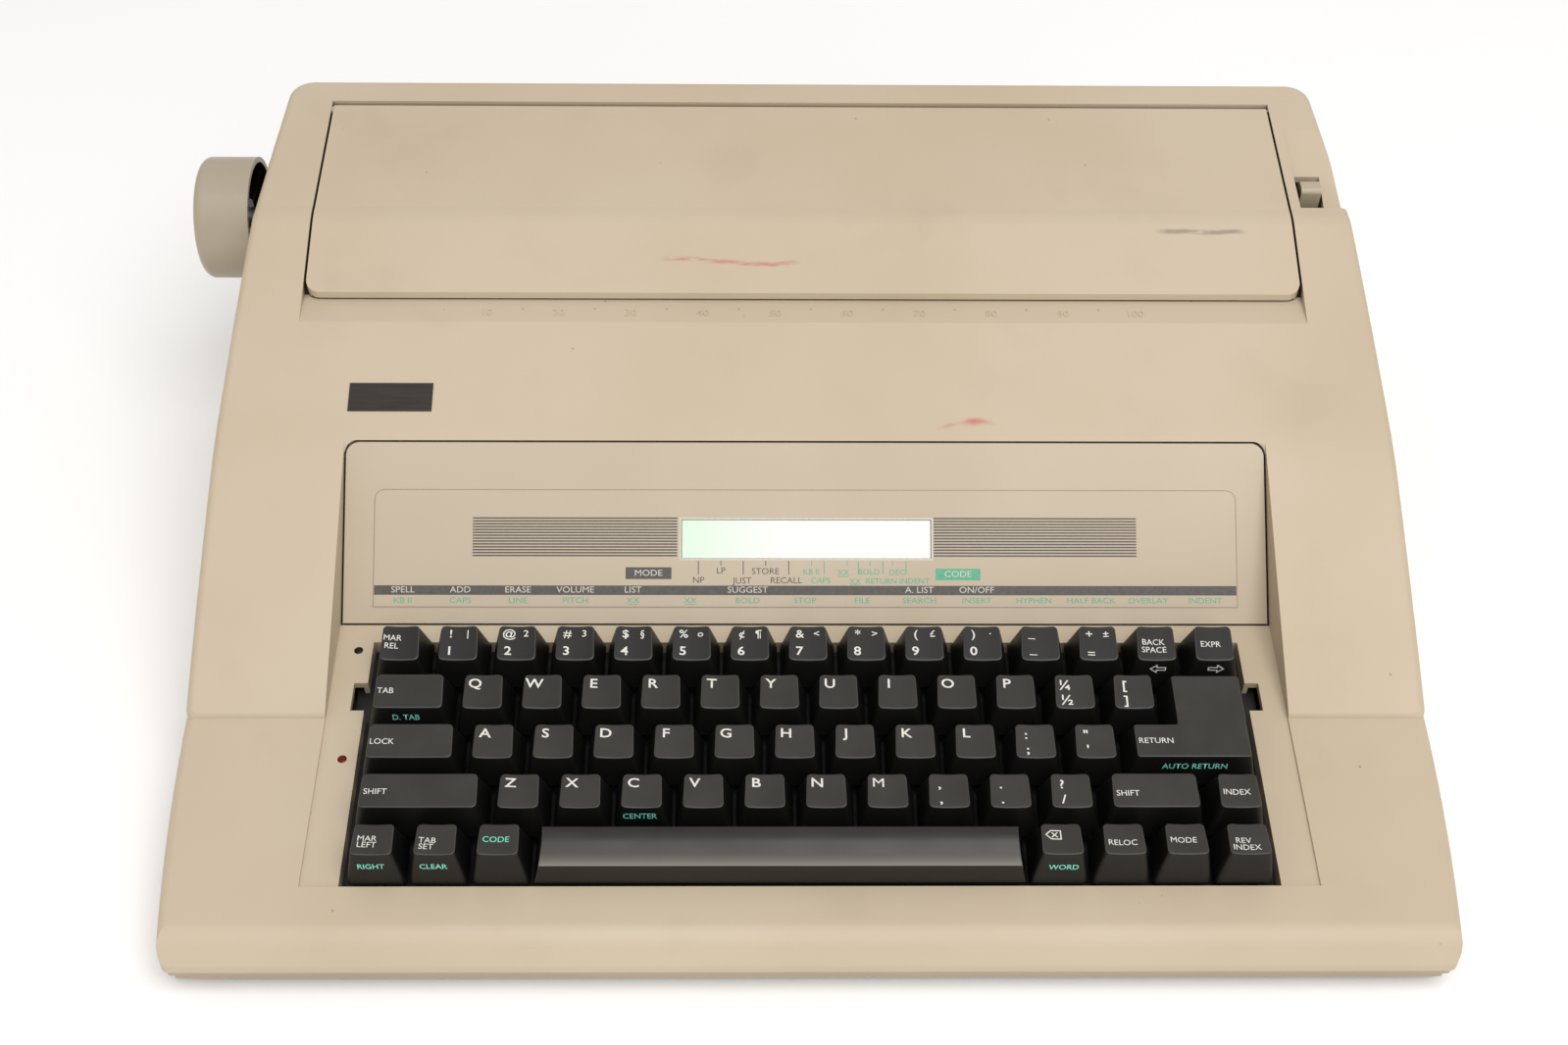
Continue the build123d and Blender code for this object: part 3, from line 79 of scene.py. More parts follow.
def pick(obj, kind, parts, test):
    """Select the points, edges or faces that pass the test, and stay in edit mode."""
    edit_mode()
    bpy.ops.mesh.select_mode(type=kind)
    bpy.ops.mesh.select_all(action="DESELECT")
    object_mode()
    for part in getattr(obj.data, parts):
        part.select = test(part)
    edit_mode()


def pick_points(obj, test):
    """Select the points whose place passes the test."""
    pick(obj, "VERT", "vertices", lambda point: test(point.co))


def pick_edges(obj, test):
    """Select the edges whose two ends pass the test."""
    pick(obj, "EDGE", "edges", lambda edge: test(*[obj.data.vertices[end].co for end in edge.vertices]))


def pick_faces(obj, test=lambda centre, normal: True):
    """Select the faces whose centre and normal pass the test."""
    pick(obj, "FACE", "polygons", lambda face: test(face.center, face.normal))


# %% [markdown]
# A few operators do most of the modelling. Here they get short names and take their sizes in millimetres.

# %% Shape what is selected
def move(x, y, z):
    """Move by x, y and z in mm."""
    bpy.ops.transform.translate(value=(x * MM, y * MM, z * MM))


def stretch(x, y, z, about_y=0.0):
    """Stretch along each axis, about the middle plane or a place along Y in mm."""
    bpy.ops.transform.resize(value=(x, y, z), center_override=(0, about_y * MM, 0))


def draw_out(x, y, z):
    """Extrude by x, y and z in mm."""
    bpy.ops.mesh.extrude_region_move(TRANSFORM_OT_translate={"value": (x * MM, y * MM, z * MM)})


def inset(thickness, depth=0.0):
    """Inset faces and raise them, in mm."""
    bpy.ops.mesh.inset(thickness=thickness * MM, depth=depth * MM)


def round_off(width, segments, kind="EDGES"):
    """Round edges or corner points by a width in mm."""
    bpy.ops.mesh.bevel(offset=width * MM, segments=segments, affect=kind)


def face_out():
    """Turn all faces of a closed mesh outwards."""
    select_all()
    bpy.ops.mesh.normals_make_consistent(inside=False)


def begin(name, primitive, x, y, z=1, **settings):
    """Add a primitive, name it, and stretch it in edit mode to its size in mm."""
    getattr(bpy.ops.mesh, "primitive_%s_add" % primitive)(size=MM, **settings)
    piece = bpy.context.object
    piece.name = name
    edit_mode()
    stretch(x, y, z)
    return piece


def modify(obj, kind, **settings):
    """Add a modifier to the active object and apply it."""
    modifier = obj.modifiers.new(kind.lower(), kind)
    for name, value in settings.items():
        setattr(modifier, name, value)
    bpy.ops.object.modifier_apply(modifier=modifier.name)


def paint(obj, material):
    """Give an object this finish alone."""
    obj.data.materials.clear()
    obj.data.materials.append(material)
    return obj


def lay(obj, x, y, z, turn=Matrix()):
    """Turn a finished mesh, then move it by x, y and z in mm."""
    obj.data.transform(Matrix.Translation((x * MM, y * MM, z * MM)) @ turn)
    return obj


# %% [markdown]
# Many pieces are made flat and then set down on a sloping part of the case. Four planes do for all of them:
# the deck under the keys, the display panel, the main slope above it, and the scoop in front of the lid. A
# plane is a matrix that turns a flat drawing (x across, y up the slope, z out of the surface) into its place.
# The origin lies below the middle of the whole machine, knob included, so the case's middle is to its right.

# %% Planes of the machine
CASE_X = 10.45
CASE_Y = -1.35
body_of = {}
for body, names in frame["record"]["behaviour"]["bodies"].items():
    for name in names:
        body_of[name] = body


def plane(y, z, degrees):
    """Matrix of a plane through the case's middle at y and z in mm that rises to the rear by that angle."""
    place = Matrix.Translation((CASE_X * MM, (y + CASE_Y) * MM, z * MM))
    return place @ Matrix.Rotation(math.radians(degrees), 4, "X")


deck = plane(-115.5, 27.2, 6.0)
panel = plane(-42.9, 34.03, 40.62)
slope = plane(2.1, 74.0, 20.2)
scoop = plane(49.0, 91.26, 3.7)


def seat(obj, matrix, node_name):
    """Put a finished piece in its place, in its mesh, and let it ride the body of a CAD node."""
    obj.data.transform(matrix)
    obj.data.update()
    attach(obj, body_of[node_name])


# %% [markdown]
# ## Camera
# The camera stands where the photographer stood: in front of the machine, a little to the left, half a metre
# above the table, looking down by 44 degrees. The lens is written as the real one would be, for a sensor
# 36 mm wide.

# %% Camera
def aim(yaw, pitch, roll):
    """Camera rotation from yaw, pitch and roll in degrees."""
    level = Matrix(((1, 0, 0), (0, 0, -1), (0, 1, 0)))
    turn = Matrix.Rotation(math.radians(yaw), 3, "Z")
    nod = Matrix.Rotation(math.radians(pitch), 3, "X")
    tip = Matrix.Rotation(math.radians(roll), 3, "Z")
    rows = tip @ nod @ level @ turn
    return Matrix((rows[0], -rows[1], -rows[2])).transposed().to_4x4()


bpy.ops.object.camera_add()
camera = bpy.context.object
camera.name = "camera"
camera.matrix_world = Matrix.Translation((-0.00735, -0.53055, 0.5515)) @ aim(1.14, 43.96, 0.87)
SENSOR, WIDTH_PX, FOCAL_PX = 36, 1599, 2140
camera.data.lens = FOCAL_PX / WIDTH_PX * SENSOR
camera.data.sensor_width = SENSOR
bpy.context.scene.camera = camera
print("lens", round(camera.data.lens, 2))

# %% [markdown]
# ## Light and floor
# The photograph was taken in flat, soft light on white. An even sky does most of that work: under a sky of
# strength 1 a surface renders about as its colour is written. The sky is set lower, and two soft lamps give
# back the rest, so that the forms still turn. Seen by the camera the sky is plain white.

# %% Light and floor
SKY_LIGHT, SKY_SEEN = 0.62, 1.0
FLOOR_SIZE = 8
TARGET = (0, 0, 0.05)
scene = bpy.context.scene
scene.view_settings.view_transform = "Standard"
world = bpy.data.worlds.new("sky")
scene.world = world
world.use_nodes = True
sky = world.node_tree
background = sky.nodes["Background"]
background.inputs["Color"].default_value = (1.0, 0.99, 0.975, 1)
path = sky.nodes.new("ShaderNodeLightPath")
seen = sky.nodes.new("ShaderNodeMath")
seen.operation = "MAXIMUM"
sky.links.new(path.outputs["Is Camera Ray"], seen.inputs[0])
sky.links.new(path.outputs["Is Transmission Ray"], seen.inputs[1])
strength = sky.nodes.new("ShaderNodeMapRange")
strength.inputs["To Min"].default_value = SKY_LIGHT
strength.inputs["To Max"].default_value = SKY_SEEN
sky.links.new(seen.outputs[0], strength.inputs["Value"])
sky.links.new(strength.outputs["Result"], background.inputs["Strength"])


def soft_lamp(name, place, size, power):
    """A square soft lamp at a place, turned to the machine."""
    bpy.ops.object.light_add(type="AREA", location=place)
    lamp = bpy.context.object
    lamp.name = name
    lamp.rotation_euler = (Vector(TARGET) - Vector(place)).to_track_quat("-Z", "Y").to_euler()
    lamp.data.size = size
    lamp.data.energy = power


soft_lamp("lamp_above", (0.35, -0.8, 1.8), 1.6, 26)
soft_lamp("lamp_front", (0.6, -1.7, 1.1), 1.0, 3)

bpy.ops.mesh.primitive_plane_add(size=FLOOR_SIZE)
floor = bpy.context.object
floor.name = "floor"

# %% [markdown]
# ## Finishes
# Each finish is a small set of nodes that reads the object's own coordinates, so the pattern stays on the
# surface when the piece moves. The numbers that are the same all over are typed straight into the shader's
# sockets.

# %% Finish helpers
def srgb(red, green, blue):
    """A colour as read from a screen, 0 to 255, as the shader wants it."""
    out = []
    for value in (red, green, blue):
        share = value / 255
        out.append(share / 12.92 if share <= 0.04045 else ((share + 0.055) / 1.055) ** 2.4)
    return (*out, 1.0)


def sockets_of(made):
    """The inputs of a finish's shader."""
    return made.node_tree.nodes["Principled BSDF"].inputs


def finish(name, colour, roughness, **others):
    """A new material with its plain numbers set on the shader."""
    made = bpy.data.materials.new(name)
    made.use_nodes = True
    for socket, value in {"Base Color": colour, "Roughness": roughness, **others}.items():
        sockets_of(made)[socket.replace("_", " ")].default_value = value
    return made


def node(made, kind, **settings):
    """A new node with its settings and plain socket values."""
    new = made.node_tree.nodes.new("ShaderNode" + kind)
    for key, value in settings.items():
        if hasattr(new, key):
            setattr(new, key, value)
        else:
            new.inputs[key.replace("_", " ")].default_value = value
    return new


def join(made, start, end):
    """Link an output socket to an input socket."""
    made.node_tree.links.new(start, end)


def drive(made, socket, source):
    """Let an output set one of the shader's sockets."""
    join(made, source, sockets_of(made)[socket])


def object_place(made, scale=(1, 1, 1)):
    """The object's own coordinates, stretched along each axis."""
    mapping = node(made, "Mapping", Scale=scale)
    join(made, node(made, "TexCoord").outputs["Object"], mapping.inputs["Vector"])
    return mapping.outputs["Vector"]


def parts_of(made, vector):
    """The X, Y and Z parts of a vector."""
    parts = node(made, "SeparateXYZ")
    join(made, vector, parts.inputs["Vector"])
    return parts.outputs


def number(made, operation, first, second=None):
    """A Math node; each input is a socket or a plain number."""
    math_node = node(made, "Math", operation=operation)
    for index, value in enumerate((first, second)):
        if isinstance(value, (int, float)):
            math_node.inputs[index].default_value = value
        elif value is not None:
            join(made, value, math_node.inputs[index])
    return math_node.outputs[0]


def noise(made, scale, detail=2.0, along=(1, 1, 1)):
    """Noise in the object's own coordinates, from 0 to 1."""
    cloud = node(made, "TexNoise", Scale=scale, Detail=detail)
    join(made, object_place(made, along), cloud.inputs["Vector"])
    return cloud.outputs["Fac"]


def ramp(made, value, low, high, out_low=0.0, out_high=1.0):
    """Map a value between two limits to two others, clamped."""
    step = node(made, "MapRange", clamp=True)
    for socket, limit in (("From Min", low), ("From Max", high), ("To Min", out_low), ("To Max", out_high)):
        step.inputs[socket].default_value = limit
    join(made, value, step.inputs["Value"])
    return step.outputs["Result"]


def blend_colours(made, share, first, second):
    """Mix two colours by a share; each is a socket or a colour."""
    mix = node(made, "Mix", data_type="RGBA")
    join(made, share, mix.inputs[0])
    for index, value in ((6, first), (7, second)):
        if isinstance(value, tuple):
            mix.inputs[index].default_value = value
        else:
            join(made, value, mix.inputs[index])
    return mix.outputs[2]


def two_tones(made, value, low, high, first, second):
    """A colour that goes from one tone to another as a value goes from low to high."""
    return blend_colours(made, ramp(made, value, low, high), first, second)


def tint(made, value, low, high, first, second):
    """Let the finish's colour go from one tone to another."""
    drive(made, "Base Color", two_tones(made, value, low, high, first, second))


def gloss(made, value, low, high, first, last):
    """Let the finish's roughness go from one number to another."""
    drive(made, "Roughness", ramp(made, value, low, high, first, last))


def grain(made, scale, strength, along=(1, 1, 1)):
    """Fine moulded grain as bump."""
    bump = node(made, "Bump", Strength=strength, Distance=0.0001)
    join(made, noise(made, scale, 2.0, along), bump.inputs["Height"])
    drive(made, "Normal", bump.outputs["Normal"])


# %% [markdown]
# The case is moulded in a beige plastic with a fine spark grain. Years of use leave it slightly uneven in
# tone, with small dark specks, and polished where hands rest. A cloudy noise mixes two near tones, a second
# one drives the gloss, and a sparse cell pattern gives the specks. The seams, where little light gets in, get
# painted shade, and an ambient occlusion node finds such places.

# %% Case plastic
def aged_plastic(name, tone, yellowed, roughness, grain_scale=2600.0, grain_strength=0.10, specks=True):
    """Beige plastic with cloudy tones, specks, painted shade in the seams and an uneven gloss."""
    made = finish(name, tone, roughness)
    colour = two_tones(made, noise(made, 9.0, 4.0), 0.38, 0.66, tone, yellowed)
    if specks:
        cells = node(made, "TexVoronoi", Scale=95.0)
        join(made, object_place(made), cells.inputs["Vector"])
        near = ramp(made, cells.outputs["Distance"], 0.030, 0.055, 1.0, 0.0)
        some = ramp(made, noise(made, 60.0, 0.0), 0.60, 0.66)
        share = number(made, "MULTIPLY", number(made, "MULTIPLY", near, some), 0.5)
        colour = blend_colours(made, share, colour, srgb(96, 82, 66))
        film = ramp(made, noise(made, 26.0, 6.0), 0.56, 0.80, 0.0, 0.16)
        colour = blend_colours(made, film, colour, srgb(150, 132, 108))
    # Painted shade: seams that ambient occlusion finds are darkened nearly to black.
    crevice = node(made, "AmbientOcclusion", samples=12, Distance=6 * MM)
    seam_shade = ramp(made, crevice.outputs["AO"], 0.10, 0.42, 0.92, 0.0)
    drive(made, "Base Color", blend_colours(made, seam_shade, colour, srgb(26, 22, 18)))
    gloss(made, noise(made, 16.0, 3.0), 0.3, 0.7, roughness - 0.06, roughness + 0.06)
    grain(made, grain_scale, grain_strength)
    return made


def smooth_plastic(name, tone, yellowed, roughness, grain_scale=3000.0, grain_strength=0.03):
    """The same plastic without specks, with a finer grain."""
    return aged_plastic(name, tone, yellowed, roughness, grain_scale, grain_strength, False)


case_plastic = aged_plastic("case_plastic", srgb(194, 178, 154), srgb(188, 171, 146), 0.50)
# Painted shade: the lower case gets darker tones than the upper case.
shaded_base_plastic = aged_plastic("shaded_base_plastic", srgb(176, 160, 138), srgb(170, 153, 131), 0.55)
panel_plastic = smooth_plastic("panel_plastic", srgb(186, 170, 147), srgb(181, 164, 140), 0.42, 3200.0, 0.06)
knob_plastic = smooth_plastic("knob_plastic", srgb(170, 158, 139), srgb(163, 150, 130), 0.30)
lever_plastic = smooth_plastic("lever_plastic", srgb(176, 165, 141), srgb(168, 157, 133), 0.40)
print("plastics", case_plastic.name, shaded_base_plastic.name, panel_plastic.name, knob_plastic.name)

# %% [markdown]
# The lid carries the marks of its years: a faint reddish scrawl in its middle, a grey smudge near its right
# end and a small red spot below. Each mark is a soft band round a wavy line, broken up by noise, and is laid
# over a copy of the case's finish. The inside of the open knob gets painted shade.

# %% Marks of use and painted shade in the knob
def lay_over(made, mask, colour):
    """Put a colour over the finish's own wherever the mask is 1."""
    under = sockets_of(made)["Base Color"].links[0].from_socket
    drive(made, "Base Color", blend_colours(made, mask, under, colour))


def facing(made):
    """The parts of the surface's own direction along Y and Z."""
    parts = parts_of(made, node(made, "TexCoord").outputs["Normal"])
    return parts["Y"], parts["Z"]


def band(made, start, end, height, wave, wavelength, width, breakup, strength):
    """A mask along X between start and end, round a wavy line at one height up the slope, in mm."""
    place = parts_of(made, object_place(made))
    across = number(made, "SUBTRACT", place["X"], CASE_X * MM)
    up = number(made, "SUBTRACT", place["Y"], (CASE_Y + height) * MM)
    turn = number(made, "SINE", number(made, "MULTIPLY", across, 2 * math.pi / (wavelength * MM)))
    drift = number(made, "MULTIPLY", number(made, "SUBTRACT", noise(made, 60.0, 3.0), 0.5), 4 * MM)
    line = number(made, "ADD", number(made, "MULTIPLY", turn, wave * MM), drift)
    away = number(made, "ABSOLUTE", number(made, "SUBTRACT", up, line))
    mask = ramp(made, away, 0.3 * width * MM, width * MM, 1.0, 0.0)
    for limit in (
        ramp(made, noise(made, breakup, 4.0, (1, 4, 1)), 0.34, 0.52),
        ramp(made, across, start * MM, (start + 5) * MM),
        ramp(made, across, (end - 5) * MM, end * MM, 1.0, 0.0),
        ramp(made, facing(made)[1], 0.3, 0.5, 0.0, strength),
    ):
        mask = number(made, "MULTIPLY", mask, limit)
    return mask


def knob_hollow_shade(made, skin):
    """A mask for the painted shade inside the open knob, which spares its skin and its closed outer end."""
    knob = nodes["platen_knob"]
    places = [knob.matrix_world @ corner.co for corner in knob.data.vertices]
    low, high = ([limit(place[axis] for place in places) for axis in range(3)] for limit in (min, max))
    place = parts_of(made, object_place(made))
    off_y = number(made, "SUBTRACT", place["Y"], (low[1] + high[1]) / 2)
    off_z = number(made, "SUBTRACT", place["Z"], (low[2] + high[2]) / 2)
    square = number(made, "ADD", number(made, "POWER", off_y, 2.0), number(made, "POWER", off_z, 2.0))
    inner = (high[2] - low[2]) / 2 - skin * MM
    near = ramp(made, number(made, "SQRT", square), inner - 0.3 * MM, inner + 0.1 * MM, 1.0, 0.0)
    return number(made, "MULTIPLY", near, ramp(made, place["X"], low[0] + 1.8 * MM, low[0] + 2.2 * MM))


# Painted shade: the inside of the open knob is darkened nearly to black.
lay_over(knob_plastic, knob_hollow_shade(knob_plastic, 1.7), srgb(30, 27, 24))
lid_plastic, marked_plastic = case_plastic.copy(), case_plastic.copy()
lid_plastic.name, marked_plastic.name = "lid_plastic", "marked_plastic"
for made, colour, mark in (
    (lid_plastic, srgb(188, 112, 104), (-52, 0, 72.6, 0.9, 60, 1.1, 160.0, 0.75)),
    (lid_plastic, srgb(112, 104, 98), (126, 160, 85.3, 0.2, 60, 1.3, 140.0, 0.6)),
    (marked_plastic, srgb(186, 116, 102), (44, 66, 9.6, 2.2, 46, 1.0, 90.0, 0.50)),
    (marked_plastic, srgb(190, 92, 84), (53, 62, 11.6, 0.2, 20, 2.0, 60.0, 0.75)),
):
    lay_over(made, band(made, *mark), colour)
print("marks on", lid_plastic.name, marked_plastic.name)

# %% [markdown]
# The keys are moulded in charcoal with a fine matt grain, which fingers polish. Their skirts get painted
# shade, the rounded rims of their tops a painted highlight, and the curved front of the space bar a painted
# reflection.
# The other dark parts are plain black. Steel is zinc plated, the boards are green, and the rubber is dull.

# %% Keys, steel, rubber and boards
def dark_plastic(name, colour, polished, roughness, grain_scale, grain_strength, specular):
    """Grained plastic that wanders between two tones and two degrees of gloss."""
    made = finish(name, colour, roughness, Specular_IOR_Level=specular)
    tint(made, noise(made, 70.0, 3.0), 0.35, 0.7, colour, polished)
    gloss(made, noise(made, 55.0, 3.0), 0.35, 0.7, roughness, roughness - 0.12)
    grain(made, grain_scale, grain_strength)
    return made


def paint_skirt_shade(made, low, high, side):
    """Paint shade on faces that turn to the side, so that the skirts are darker than the tops."""
    lay_over(made, ramp(made, facing(made)[1], low, high, 1.0, 0.0), side)


key_plastic = dark_plastic("key_plastic", srgb(46, 45, 41), srgb(53, 52, 47), 0.50, 3800.0, 0.16, 0.34)
front_tilt, up_tilt = facing(key_plastic)
# Painted shade: faces that turn to the front, the front skirts, are darkened.
lay_over(key_plastic, ramp(key_plastic, front_tilt, -0.32, -0.20, 0.95, 0.0), srgb(29, 28, 26))
# Painted shade on the skirts of the keys.
paint_skirt_shade(key_plastic, 0.62, 0.86, srgb(17, 16, 15))
# Painted highlight: the rounded rim of each top is made lighter.
painted_rim_highlight = number(key_plastic, "MULTIPLY", ramp(key_plastic, up_tilt, 0.42, 0.62),
             ramp(key_plastic, up_tilt, 0.78, 0.93, 1.0, 0.0))
lay_over(key_plastic, number(key_plastic, "MULTIPLY", painted_rim_highlight, 0.8), srgb(80, 80, 76))
bar_plastic = dark_plastic("bar_plastic", srgb(38, 37, 34), srgb(44, 43, 40), 0.42, 3800.0, 0.08, 0.36)
# Painted reflection: the curved front of the space bar's top is lighter the more it turns to the front.
painted_sheen = number(bar_plastic, "POWER", ramp(bar_plastic, facing(bar_plastic)[1], 0.45, 0.88, 1.0, 0.0), 1.6)
lay_over(bar_plastic, painted_sheen, srgb(134, 128, 121))
# Painted shade on the skirts of the space bar.
paint_skirt_shade(bar_plastic, 0.36, 0.46, srgb(13, 12, 12))
black_plastic = dark_plastic("black_plastic", srgb(26, 26, 26), srgb(32, 32, 31), 0.45, 2400.0, 0.10, 0.40)
rubber = dark_plastic("dark_rubber", srgb(30, 30, 30), srgb(38, 37, 36), 0.80, 1800.0, 0.12, 0.30)
board_green = dark_plastic("circuit_board", srgb(34, 84, 50), srgb(42, 100, 58), 0.42, 900.0, 0.08, 0.5)

STEEL_TONE, STEEL_ROUGHNESS = srgb(188, 190, 190), 0.34
steel = finish("steel", STEEL_TONE, STEEL_ROUGHNESS, Metallic=1.0)
gloss(steel, noise(steel, 40.0, 5.0, (1, 14, 14)), 0.3, 0.7, STEEL_ROUGHNESS - 0.08, STEEL_ROUGHNESS + 0.12)
tint(steel, noise(steel, 22.0, 3.0), 0.3, 0.7, STEEL_TONE, srgb(150, 152, 150))
grain(steel, 900.0, 0.05, (1, 8, 8))


def lamp_glass(name, colour, deep, specular):
    """Clear coloured plastic of a small lamp."""
    made = finish(name, colour, 0.30, Specular_IOR_Level=specular)
    tint(made, noise(made, 700.0), 0.3, 0.7, colour, deep)
    return made


glossy_red = lamp_glass("lamp_red", srgb(120, 12, 8), srgb(84, 6, 6), 0.25)
glossy_dark = lamp_glass("lamp_dark", srgb(16, 17, 15), srgb(26, 27, 24), 0.2)
print("steel", steel.name, "board", board_green.name)

# %% [markdown]
# The display is a reflective liquid crystal behind clear plastic. Unlit it is a very pale mint, painted white
# as a painted reflection where the room's light falls on it, so its colour runs along X. A weak painted glow
# keeps it as bright as the photograph shows it. Printing inks are thin and slightly uneven.

# %% Display and inks
display = finish("display_glass", srgb(236, 255, 240), 0.10, Coat_Weight=0.5, Coat_Roughness=0.04,
                 Emission_Strength=0.10)
MINT, REFLECTED_WHITE = srgb(186, 214, 184), srgb(212, 214, 208)
across = parts_of(display, object_place(display))["X"]
# Painted reflection: the display runs from mint to white where the room's light falls on it.
tone = two_tones(display, across, (CASE_X - 44) * MM, (CASE_X - 8) * MM, MINT, REFLECTED_WHITE)
drive(display, "Base Color", tone)
# Painted light: the display glows a little in its own colour, though it is no lamp.
drive(display, "Emission Color", tone)


def ink(name, colour, second):
    """A thin, slightly uneven printing ink."""
    made = finish(name, colour, 0.55)
    tint(made, noise(made, 900.0), 0.35, 0.7, colour, second)
    return made


white_ink = ink("white_ink", srgb(224, 222, 212), srgb(206, 204, 194))
green_ink = ink("green_ink", srgb(92, 172, 136), srgb(82, 162, 126))
bright_green_ink = ink("bright_green_ink", srgb(136, 224, 206), srgb(122, 210, 192))
dark_ink = ink("dark_ink", srgb(74, 70, 66), srgb(84, 80, 76))
# Painted shadow: the brown ink for the line along the overlay sheet's edge.
edge_shadow_ink = ink("edge_shadow_ink", srgb(152, 134, 114), srgb(144, 126, 106))
pale_ink = ink("pale_ink", srgb(206, 200, 188), srgb(196, 190, 178))

BRUSHED = (1, 9, 9)
badge_metal = finish("badge_metal", srgb(50, 46, 43), 0.42, Metallic=0.3)
tint(badge_metal, noise(badge_metal, 90.0, 5.0, BRUSHED), 0.3, 0.7, srgb(47, 43, 40), srgb(57, 52, 48))
gloss(badge_metal, noise(badge_metal, 60.0, 4.0, BRUSHED), 0.3, 0.7, 0.26, 0.42)

FLOOR_WHITE = (0.96, 0.955, 0.948, 1)
white_floor = finish("white_floor", FLOOR_WHITE, 0.9, Specular_IOR_Level=0.0)
tint(white_floor, noise(white_floor, 1.5), 0.3, 0.7, FLOOR_WHITE, (0.975, 0.97, 0.965, 1))
floor.data.materials.append(white_floor)
print("inks", white_ink.name, green_ink.name, dark_ink.name)

# %% [markdown]
# ## Rigid pieces
# The rigid pieces have the right shape already, but their meshes are loose triangles, which would show flat
# facets. A copy of each is merged, flat areas are joined into single faces, and it is shaded smooth except
# where it turns by more than fifteen degrees. Weighted normals let large faces set the shading, so that only
# the roundings between them look round. The copy then stands for the piece.

# %% Smooth copies of the rigid pieces
def smooth(piece, angle):
    """Shade smooth up to an angle in degrees, and let large faces set the shading."""
    bpy.ops.object.shade_smooth_by_angle(angle=math.radians(angle))
    modify(piece, "WEIGHTED_NORMAL", keep_sharp=True, weight=80)


def smooth_copy(name, material):
    """A merged, smooth copy of a CAD node with its finish, which stands for it."""
    piece = nodes[name].copy()
    piece.data = nodes[name].data.copy()
    piece.name = name + "_dressed"
    bpy.context.scene.collection.objects.link(piece)
    piece.parent = None
    piece.matrix_world = Matrix.Identity(4)
    only(piece)
    edit_mode()
    bpy.ops.mesh.select_mode(type="VERT")
    select_all()
    bpy.ops.mesh.remove_doubles(threshold=0.002 * MM)
    bpy.ops.mesh.dissolve_limited(angle_limit=math.radians(0.3))
    object_mode()
    smooth(piece, 15)
    paint(piece, material)
    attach(piece, body_of[name])
    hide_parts(name)
    return piece


dressing = [
    (marked_plastic, "case_plastic", ["upper_case"]),
    (shaded_base_plastic, "case_plastic", ["lower_case"]),
    (lid_plastic, "case_plastic", ["lid"]),
    (panel_plastic, "panel_plastic", ["display_panel"]),
    (knob_plastic, "knob_plastic", ["platen_knob"]),
    (lever_plastic, "knob_plastic", ["release_lever"]),
    (display, "display_glass", ["lcd_module"]),
    (black_plastic, "black_plastic", [
        "keyboard_plate", "platen_gear", "idler_gear", "motor_pinion", "ribbon_cassette", "print_wheel",
        "motor_pulley", "idler_pulley", "mains_inlet", "power_rocker", "carriage_frame"]),
    (board_green, "circuit_board", ["key_switch_board", "main_board"]),
    (rubber, "dark_rubber", ["rubber_feet", "platen_roller", "feed_rollers", "bail_rollers", "drive_belt"]),
    (steel, "steel", [
        "case_screws", "chassis_pan", "left_side_frame", "right_side_frame", "carriage_rails", "platen_shaft",
        "paper_pan", "paper_bail", "line_feed_motor", "carriage_motor", "print_wheel_motor", "print_hammer",
        "power_transformer"]),
]
dressed = {}
for material, slot, names in dressing:
    for name in names:
        dressed[name] = smooth_copy(name, material)
print("dressed", len(dressed), "faces", sum(len(piece.data.polygons) for piece in dressed.values()))

# %% [markdown]
# ## Key caps
# A key cap is a shell whose sides slope in to a small top. The top is dished across for the finger, tilted to
# suit its row, and narrower at the rear. It could be a box with its corners moved, but a grid gives the top
# enough points to dish smoothly. So each cap starts as a grid, its rim is extruded down into the skirt, the
# columns are lowered, the rows are narrowed and tilted, and the edges are rounded. Sizes are in millimetres,
# and the numbers in braces are for the rows from the rear to the front.

# %% Cap sizes
UNIT = 19.05
GAP = 1.05
HALF = (UNIT - GAP) / 2
TOP_H = 12.2
SKIRT_H = -0.5
TOP_DEPTH = {1: 12.0, 2: 12.0, 3: 12.0, 4: 12.0, 5: 11.2}
TOP_SHIFT = {1: -0.6, 2: -0.6, 3: -0.6, 4: -0.6, 5: 0.3}
ROW_S = {row: -20.1 + (5 - row) * UNIT for row in range(1, 6)}
TILT = {1: 12.0, 2: 8.0, 3: 5.0, 4: 2.0, 5: -4.0}
RAISE = {1: 0.9, 2: 0.4, 3: 0.2, 4: 1.0, 5: 2.2}
FRONT_INSET = 2.7
REAR_INSET = 3.1
FRONT_ROW_TRIM = 1.8
BAR_FRONT_Y, BAR_FRONT_H = -6.6, 9.4
BAR_FLAT_Y, BAR_REAR_Y, BAR_REAR_DROP = 2.5, 5.5, 1.5
WALL, FULL_DISH, SLIGHT_DISH = 1.2, 0.6, 0.12
SAME = 0.05 * MM


def key_x(units):
    """Place across the keyboard in mm, counted in key units from its left edge."""
    return (units - 7.5) * UNIT


print("key rows at", {row: round(s, 1) for row, s in ROW_S.items()})

# %% Model one cap
def round_cap(cap, half, low_y, high_y):
    """Round a cap's slanted corners, then the rim of its top."""
    def slanted(a, b):
        """The four edges that run down the corners of the skirt."""
        foot = a if a.z < b.z else b
        on_side = abs(abs(foot.x) - half * MM) < SAME
        on_end = min(abs(foot.y - low_y * MM), abs(foot.y - high_y * MM)) < SAME
        return abs(a.z - b.z) > 5 * MM and on_side and on_end

    pick_edges(cap, slanted)
    round_off(1.5, 3)
    round_top(cap)


def round_top(cap):
    """Round the rim of a cap's top."""
    pick_faces(cap, lambda centre, normal: normal.z > 0.75)
    bpy.ops.mesh.region_to_loop()
    round_off(0.5, 3)


def thicken(cap, angle=40):
    """Give the shell a wall and smooth it."""
    object_mode()
    modify(cap, "SOLIDIFY", thickness=WALL * MM, offset=-1)
    smooth(cap, angle)


